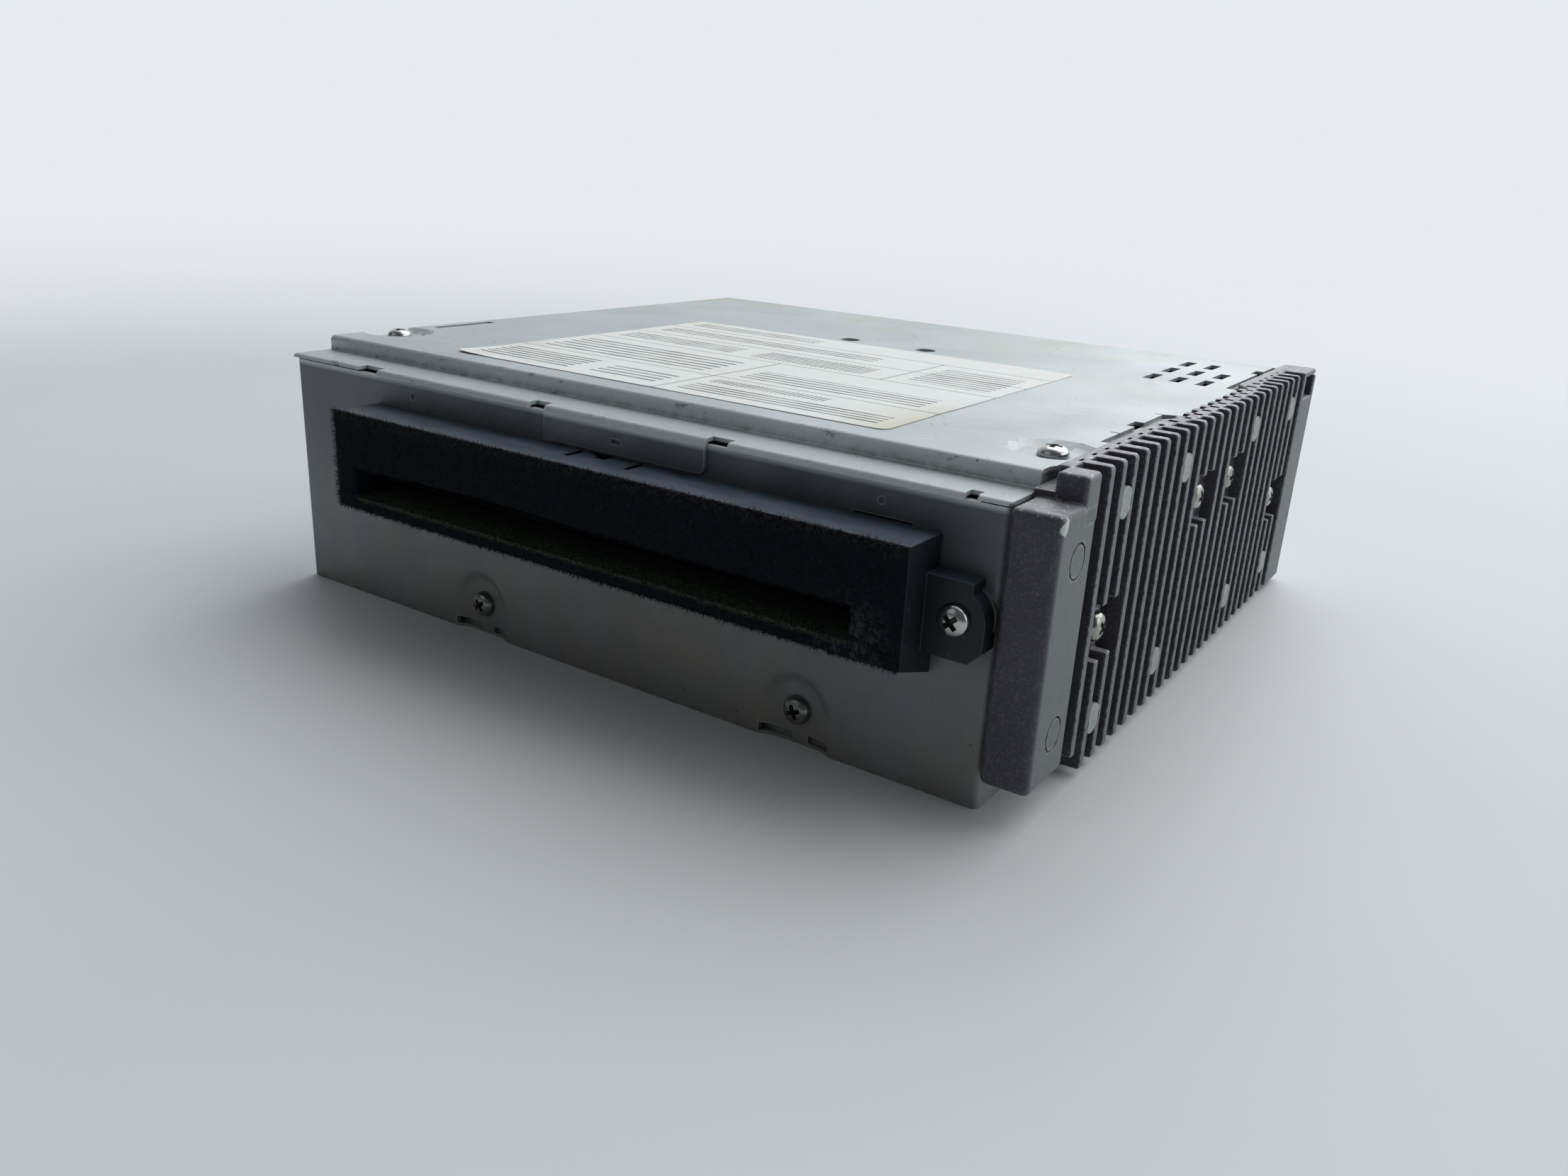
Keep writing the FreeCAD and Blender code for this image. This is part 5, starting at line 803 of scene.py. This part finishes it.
finishes = {
    chipResin: ["processor_chip", "amplifier_chips"],
    canSleeve: ["capacitors"],
    tinPlate: ["tuner_can", "aerial_sockets"],
    brass: ["connector_pins", "motor_pinion"],
    ribbonFilm: ["ribbon_cable"],
    rolledSteel: ["loader_frame", "upper_guide", "drive_deck", "clamp_arm", "roller_arm",
                  "motor_bracket", "chip_clamp", "damper_posts", "spindle_motor", "sled_motor",
                  "loading_motor", "mode_slider", "frame_pins", "gear_axles"],
    groundShaft: ["arm_shaft", "roller_shaft", "spindle_shaft", "guide_rod", "lead_screw",
                  "motor_shaft"],
    softRubber: ["rubber_dampers", "deck_bushes"],
    rollerRubber: ["loading_roller"],
    paleGear: ["left_feeler", "right_feeler", "roller_gear", "transfer_gear", "reduction_gear"],
    clearLens: ["objective_lens"],
    lensPlastic: ["lens_plate", "pickup_sled", "turntable", "clamper"],
    socketPlastic: ["power_connector"],
    greenBoard: ["main_board"],
    nickel: ["board_screws", "damper_screws", "deck_screws", "feeler_screws"],
}
for material, names in finishes.items():
    for name in names:
        for holder in nodes[name].material_slots:
            holder.material = material
print("materials made")


# The sheet-metal case

sheetSet = {
    "edge": 0.13,
    "steps": 2,
    "gapLow": (151.7, -1, 46.6),
    "gapHigh": (163.2, 1.5, 47.15),
}


def makeSheets():
    for node, name, material in (
            ("top_cover", "topCover", coverZinc), ("case_walls", "caseWalls", wallZinc),
            ("bottom_pan", "bottomPan", panZinc), ("rear_plate", "rearPlate", panZinc)):
        piece = cleanCopy(node, name)
        roundSharp(piece, sheetSet["edge"], sheetSet["steps"])
        if node == "case_walls":  # the wall stands clear of the throat for a short stretch
            carve(piece, startBlock("gap", at(*sheetSet["gapLow"]), at(*sheetSet["gapHigh"])))
        finishPiece(piece, material, "chassis", "zinc_steel", node)


makeSheets()
print("sheet case made")


# The cast heat sink

sinkSet = {
    "inner": 180.3,
    "face": 184,
    "outer": 189.2,
    "low": 1.5,
    "top": 55.1,
    "crest": 58.4,
    "noseTop": 53.9,
    "finFirst": 16.9,
    "finStep": 5.79,
    "finTip": 1.8,
    "finRoot": 2.6,
    "finCount": 24,
    "cornerRound": 0.8,
    "blockRound": 1.3,
    "rings": (45, 15),
    "ringOuter": 3.2,
    "ringInner": 2.75,
    "ringDepth": 0.5,
    "pads": [(gap, z) for gap in (1, 7, 16, 22) for z in (50.5, 10.4)],  # gap between fins, height
    "padRadius": 2.9,
    "screws": [(1, 27.7), (10, 41.2), (14, 41.2), (22, 27.7)],
    "screwFace": 186.6,
    "bossRadius": 3.2,
    "railOutline": [
        (182, 11.8), (182, 65), (184.4, 69.5), (184.4, 119), (181.2, 123.5), (181.2, 158),
        (184.3, 158), (184.3, 137), (187, 114.5), (187, 74), (184.3, 56), (184.3, 11.8)],
}


def inGap(x, gap, z):  # a place halfway between two fins
    s = sinkSet
    return at(x, s["finFirst"] + s["finTip"] / 2 + (gap + 0.5) * s["finStep"], z)


def roundBlock(name, low, high, width, steps=3):
    piece = startBlock(name, at(*low), at(*high))
    roundSharp(piece, width, steps)
    return piece


def makeStuds(name, out, radius, width, spots):
    studs = []
    for gap, z in spots:
        start = inGap(sinkSet["inner"] + 1, gap, z)
        studs.append(startRod(name, start, inGap(out, gap, z), radius, 40))
        roundSharp(studs[-1], width)
    return studs


def makeSink():
    s = sinkSet
    inner, face, outer, low, top, crest = [
        s[name] for name in ("inner", "face", "outer", "low", "top", "crest")]
    plate = startOutline("sinkPlate", [at(inner, y, z) for y, z in (
        (7, 6.2), (12.8, 6.2), (22, low), (168, low), (168, top), (7, top))])
    pullOutline(plate, Vector((mm(face - inner), 0, 0)))
    half, root = s["finTip"] / 2, s["finRoot"] / 2
    middle = s["finFirst"] + half
    fin = startOutline("coolingFins", [at(x, y, low) for x, y in (
        (face - 1, middle - root), (outer, middle - half),
        (outer, middle + half), (face - 1, middle + root))])
    pullOutline(fin, Vector((0, 0, mm(crest - low))))
    tip = at(outer, 0, 0).x - 1e-5
    for height in (low, crest):  # the two outer corners of each fin
        pick(fin, "EDGE", lambda a, b: min(a.x, b.x) > tip and abs(a.z - mm(height)) < 1e-5
             and abs(b.z - mm(height)) < 1e-5)
        bpy.ops.mesh.bevel(offset=mm(s["cornerRound"]), segments=4, affect="EDGES",
                           clamp_overlap=True)
        leaveEdit()
    repeat(fin, s["finCount"], Vector((0, mm(s["finStep"]), 0)))
    reach = Vector((0, mm(s["finStep"] / 2 + root + 0.2), mm(5.2)))
    tools = [startBlock("gap", inGap(face + 2.3, gap, z) - reach, inGap(outer + 1, gap, z) + reach)
             for gap, z in s["screws"]]
    tools.append(startBlock("gap", at(face, 12.8, 0), at(outer + 1, 20.5, 6.2)))
    carve(fin, joinPieces("gap", *tools))
    roundSharp(fin, 0.32)

    nose = roundBlock("frontBlock", (inner, -2, 6.2), (outer, 12.8, s["noseTop"]), s["blockRound"], 4)
    deep, out = outer - s["ringDepth"], outer + 1
    for z in s["rings"]:  # the round marks on the outer face of the block
        ring = startRod("ring", at(deep, 6.2, z), at(out, 6.2, z), s["ringOuter"], 48)
        carve(ring, startRod("core", at(deep - 1, 6.2, z), at(out + 1, 6.2, z), s["ringInner"], 48))
        carve(nose, ring)
    post = roundBlock("frontPost", (183.6, 7, s["noseTop"] - 4), (outer, 12.8, crest), 0.8, 4)
    rail = startOutline("topRail", [at(x, y, top - 1) for x, y in s["railOutline"]])
    pullOutline(rail, Vector((0, 0, mm(crest - top + 1))))
    roundSharp(rail, 0.4, 3)
    tail = startBlock("rearBlock", at(face - 1, 157, low), at(outer, 169.4, crest))
    carve(tail, startBlock("recess", at(face + 2.3, 159.5, 51.5), at(outer + 1, 171, 57)))
    roundSharp(tail, 0.5, 3)
    shield = roundBlock("rearShield", (face + 2.3, 169, low), (outer, 171, 56.8), 0.5)
    lid = roundBlock("rearLid", (181.2, 157, top - 1), (face, 169.4, crest), 0.4)
    marks = makeStuds("pinMark", outer, s["padRadius"], 0.25, s["pads"])
    bosses = makeStuds("boss", s["screwFace"], s["bossRadius"], 0.3, s["screws"])
    seat = roundBlock("chipSeat", (179, 63, 12), (face + 2.3, 124, 47), 0.4, 2)
    dark = [plate, fin, nose, post, rail, tail, shield, lid, seat, *bosses]
    for pieces, material in ((dark, castDark), (marks, castPad)):
        for piece in pieces:
            setMaterial(piece, material)
    sink = joinPieces("heatSink", *dark, *marks)
    finishPiece(sink, None, "chassis", "cast_heat_sink", "heat_sink")


makeSink()
print("heat sink made")


# The throat of the disc slot and its felt

def makeThroat():
    throat = cleanCopy("slot_bezel", "slotThroat")
    roundSharp(throat, 0.25, 3)
    finishPiece(throat, throatPlastic, "chassis", "black_plastic", "slot_bezel")


makeThroat()

feltShape = {
    "left": 28.7,
    "right": 168.7,
    "top": 46.8,
    "low": 26.1,
    "front": -12,
    "thick": 1.0,
    "slotLeft": 35.2,
    "slotRight": 159.4,
    "slotLow": 29,
    "slotHigh": 35,
    "back": 1,
    "backSteps": 18,
    "cell": 0.7,
    "lumps": 0.2,
    "rimRound": 1.3,
    "rimDrop": 0.45,
    "bowAt": 75,
    "bow": 1.1,
}


def within(p, low, high, gap=1e-5):  # between two corners, seen from the front
    return low.x - gap < p.x < high.x + gap and low.z - gap < p.z < high.z + gap


def onEdge(p, low, high):
    return within(p, low, high) and min(
        abs(p[axis] - side[axis]) for axis in (0, 2) for side in (low, high)) < 1e-5


def makeFelt():
    f = feltShape
    thick, depth = mm(f["thick"]), mm(f["back"] - f["front"])
    edgeLow, edgeHigh = at(f["left"], f["front"], f["low"]), at(f["right"], f["front"], f["top"])
    low, high = at(f["slotLeft"], 0, f["slotLow"]), at(f["slotRight"], 0, f["slotHigh"])
    size = edgeHigh - edgeLow
    chooseOnly()
    bpy.ops.mesh.primitive_grid_add(
        x_subdivisions=round(size.x / mm(f["cell"])), y_subdivisions=round(size.z / mm(f["cell"])),
        size=1, location=(edgeLow + edgeHigh) / 2, rotation=(math.radians(90), 0, 0))
    piece = takeNew("slotFelt", (size.x, size.z, 1))
    cell = mm(f["cell"]) / 2 + 1e-5
    for point in piece.data.vertices:  # the rows and columns next to the slot move onto its rim
        for axis in (0, 2):
            for rim in (low[axis], high[axis]):
                if abs(point.co[axis] - rim) <= cell:
                    point.co[axis] = rim
    pick(piece, "FACE", lambda centre, normal: within(centre, low, high, 0))
    bpy.ops.mesh.delete(type="FACE")
    pick(piece, "EDGE", lambda a, b: within(a, low, high) and within(b, low, high))
    for step in range(f["backSteps"]):  # the lining runs back into the slot
        pullEdges((0, depth / f["backSteps"], 0))
    centre, wide = (low + high) / 2, high - low
    pullEdges((0, 0, 0))
    bpy.ops.transform.resize(value=(1 + 2 * thick / wide.x, 1, 1 + 2 * thick / wide.z),
                             center_override=(centre.x, 0, centre.z))
    pullEdges((0, thick - depth, 0))
    frontY = edgeLow.y
    backY = frontY + thick

    def onOutside(a, b):
        return max(abs(a.y - frontY), abs(b.y - frontY)) < 1e-5 and any(
            all(abs(p[axis] - side[axis]) < 1e-5 for p in (a, b))
            for axis in (0, 2) for side in (edgeLow, edgeHigh))

    pick(piece, "EDGE", onOutside)
    for step in range(2):
        pullEdges((0, thick / 2, 0))
    lip = Vector((thick, 0, thick))
    pick(piece, "VERT", lambda p: abs(p.y - backY) < 2e-5 and (
        onEdge(p, edgeLow, edgeHigh) or onEdge(p, low - lip, high + lip)))
    bpy.ops.mesh.select_mode(type="EDGE")
    bpy.ops.mesh.bridge_edge_loops()
    closeMesh(1e-6)

    mesh = piece.data
    bowAt = at(f["bowAt"], 0, 0).x
    for point in mesh.vertices:  # the slot's upper edge has lifted a little
        near = max(0, 1 - abs(point.co.z - high.z) / 0.005) * max(0, 1 - (point.co.y - frontY) / 0.007)
        point.co.z += mm(f["bow"]) * near * math.exp(-((point.co.x - bowAt) / 0.026) ** 2)
    rest = [(point.co.copy(), point.normal.copy()) for point in mesh.vertices]
    for point, (co, normal) in zip(mesh.vertices, rest):  # matted lumps and a ragged rim
        if co.y > backY - 1e-4 and not within(co, low, high):
            continue
        lump = noise.noise(co * 700) + 0.7 * noise.noise(co * 1900)
        point.co = co + normal * mm(f["lumps"]) * lump
        if abs(co.y - frontY) < 1e-5:  # the cloth rolls over its rims
            out = max(low.x - co.x, co.x - high.x, low.z - co.z, co.z - high.z)
            near = min(abs(out), co.x - edgeLow.x, edgeHigh.x - co.x, co.z - edgeLow.z,
                       edgeHigh.z - co.z)
            point.co.y += mm(f["rimDrop"]) * max(0, 1 - near / mm(f["rimRound"])) ** 2
    growHairs(piece, edgeLow, edgeHigh, low, high, frontY)
    finishPiece(piece, None, "chassis", "black_felt", "slot_felt", angle=180, even=False)


# One short bent hair, and thousands of copies of it along the rims and over the face
def growHairs(piece, edgeLow, edgeHigh, low, high, frontY):
    draw = random.uniform
    spots = []
    for side, count, tilt in ((edgeHigh.z, 2300, (0, -0.5, 1)), (edgeLow.z, 2100, (0, -0.6, -1))):
        for number in range(count):
            where = Vector((draw(edgeLow.x, edgeHigh.x), frontY + draw(1e-4, 7e-4), side))
            spots.append((where, tilt, 0.75))
    for number in range(320):  # the left end
        z = draw(edgeLow.z, edgeHigh.z)
        spots.append((Vector((edgeLow.x, frontY + draw(1e-4, 7e-4), z)), (-1, -0.5, 0), 0.75))
    for side, count, tilt in ((high.z, 900, (0, -1, -0.5)), (low.z, 1100, (0, -1, 0.7))):
        for number in range(count):
            where = Vector((draw(low.x, high.x), frontY + draw(0, 8e-4), side))
            spots.append((where, tilt, 0.5))
    for number in range(3400):
        where = Vector((draw(edgeLow.x, edgeHigh.x), frontY, draw(edgeLow.z, edgeHigh.z)))
        if not within(where, low, high, 0):
            spots.append((where, (0, -0.7, 0), 0.45))
    for number in range(1500):  # the floor of the slot
        where = Vector((draw(low.x, high.x), frontY + draw(0, 0.011), low.z))
        spots.append((where, (0, -0.3, 0.8), 0.4))
    points, faces = [], []
    for where, tilt, length in spots:
        lean = Vector(tilt).normalized() + Vector([draw(-0.8, 0.8) for axis in range(3)])
        lean.normalize()
        bend = Vector([draw(-0.6, 0.6) for axis in range(3)])
        side = lean.orthogonal().normalized() * mm(0.045)
        other = lean.cross(side)
        reach = mm(length) * draw(0.4, 1.25)
        first = len(points)
        for share, girth in ((-0.15, 1), (0.5, 0.8)):
            middle = where + (lean * share + bend * share * share) * reach
            for turn in range(3):
                angle = turn * math.tau / 3
                points.append(middle + (side * math.cos(angle) + other * math.sin(angle)) * girth)
        points.append(where + (lean + bend) * reach)
        for turn in range(3):
            after = (turn + 1) % 3
            faces.append((first + turn, first + after, first + 3 + after, first + 3 + turn))
            faces.append((first + 3 + turn, first + 3 + after, first + 6))
        faces.append((first + 2, first + 1, first))
    mesh = bpy.data.meshes.new("feltHair")
    mesh.from_pydata(points, [], faces)
    hair = bpy.data.objects.new("feltHair", mesh)
    scene.collection.objects.link(hair)
    mesh.materials.append(feltHairs)
    piece.data.materials.append(felt)
    joinPieces("slotFelt", piece, hair)


makeFelt()
print("throat and felt made")


# The paper label

def makeLabel():
    width, length = labelSet["size"]
    low, high = onPaper(0, 0), onPaper(width, length)
    chooseOnly()
    bpy.ops.mesh.primitive_grid_add(x_subdivisions=56, y_subdivisions=46, size=1,
                                    location=(*((low + high) / 2).xy, mm(57.53)))
    piece = takeNew("paperLabel", (mm(width), mm(length), 1))
    for point in piece.data.vertices:
        p = point.co
        for axis in (0, 1):  # a slightly ragged rim
            for rim, sign in ((low[axis], 1), (high[axis], -1)):
                if abs(p[axis] - rim) < 1e-6:
                    p[axis] += sign * mm(0.35) * max(0, noise.noise(Vector(p) * 160))
        p.z += mm(0.05) * (0.5 + noise.noise(Vector(p) * 60))
        corner = max(0, 1 - (p.xy - low.xy).length / 0.012)
        p.z += mm(0.5) * corner ** 2  # its front left corner lifts a little
    roundCorner(piece, low, high, mm(2))
    applyModifier(piece, "SOLIDIFY", thickness=mm(0.1), offset=1)
    finishPiece(piece, paper, "chassis", "aged_paper", "product_label", even=False)


def roundCorner(piece, low, high, radius):
    for point in piece.data.vertices:
        p = point.co
        cx = min(max(p.x, low.x + radius), high.x - radius)
        cy = min(max(p.y, low.y + radius), high.y - radius)
        away = Vector((p.x - cx, p.y - cy))
        if away.x and away.y and away.length > radius:
            away *= radius / away.length
            p.x, p.y = cx + away.x, cy + away.y


makeLabel()
print("label made")


# Screws

screwSet = {
    "headRadius": 2.8,
    "headHeight": 1.9,
    "dome": [(0, 1), (0.3, 0.985), (0.55, 0.93), (0.76, 0.8), (0.91, 0.6), (0.985, 0.36), (1, 0.16)],
    "shankRadius": 1.5,
    "thread": 0.12,
    "crossWidth": 1.1,
    "crossReach": 1.8,
    "crossDepth": 1.5,
}


# One pan head screw along z, its head's seat at zero
def makeScrew(name, length, material):
    s = screwSet
    head, tall, shank = s["headRadius"], s["headHeight"], s["shankRadius"]
    profile = [(head * out, tall * up) for out, up in s["dome"]]
    profile += [(head * 0.985, 0.04), (head * 0.96, 0), (shank, 0)]
    depth = 0.3
    while depth < length - 0.6:
        profile += [(shank, -depth), (shank - s["thread"], -depth - 0.2)]
        depth += 0.4
    profile += [(shank * 0.8, -length + 0.1), (shank * 0.6, -length), (0, -length)]
    screw = startOutline(name, [Vector((mm(x), 0, mm(z))) for x, z in profile], fill=False)
    startEdit(screw)
    selectAll()
    bpy.ops.mesh.spin(steps=36, angle=math.tau, center=(0, 0, 0), axis=(0, 0, 1))
    closeMesh(1e-7)
    half, bottom = mm(s["crossWidth"] / 2), mm(tall - s["crossDepth"])
    cross = startBlock("cross", Vector((-half, -half, bottom)), Vector((half, half, mm(tall + 0.5))))
    for x, y in ((1, 0), (0, 1), (-1, 0), (0, -1)):
        arm = Vector((x, y, 0))
        pick(cross, "FACE", lambda centre, normal: normal.dot(arm) > 0.9
             and centre.xy.length < half * 1.1)
        pullFaces(arm * (mm(s["crossReach"]) - half))
        leaveEdit()
    pick(cross, "VERT", lambda p: p.z < bottom + 1e-6)
    bpy.ops.transform.resize(value=(0.5, 0.5, 1), center_override=(0, 0, bottom))
    closeMesh()
    setMaterial(screw, material)
    # the cross recess is painted near black, as shade
    setMaterial(cross, recessShade)
    carve(screw, cross)
    return screw


# Each set: node, material, screw length below the head, direction of the head, and seats
screwPlaces = [
    ("bezel_screw", "earScrew", nickel, 5.4, (0, -1, 0), [at(174.3, -4.4, 34.4)]),
    ("front_screws", "frontScrews", dullNickel, 2.2, (0, -1, 0),
     [at(59.7, 1.2, 6.9), at(142.5, 1.2, 6.9)]),
    ("cover_screws", "coverScrews", nickel, 4.8, (0, 0, 1), [at(4.5, 26, 56.3), at(175.5, 26, 56.3)]),
    ("heat_sink_screws", "heatSinkScrews", oiledNickel, 12.4, (1, 0, 0),
     [inGap(sinkSet["screwFace"], gap, z) for gap, z in sinkSet["screws"]]),
    ("rear_screws", "rearScrews", nickel, 2.2, (0, 1, 0), [at(20, 167.2, 6), at(160, 167.2, 6)]),
]


def makeScrews():
    for node, name, material, length, direction, seats in screwPlaces:
        master = makeScrew("masterScrew", length, material)
        copies = [copyTo(master, name, seat, direction, random.uniform(0, math.pi / 2))
                  for seat in seats]
        bpy.data.objects.remove(master)
        whole = joinPieces(name, *copies)
        finishPiece(whole, None, "chassis", "nickel_screw", node, even=False)


makeScrews()
print("screws made")
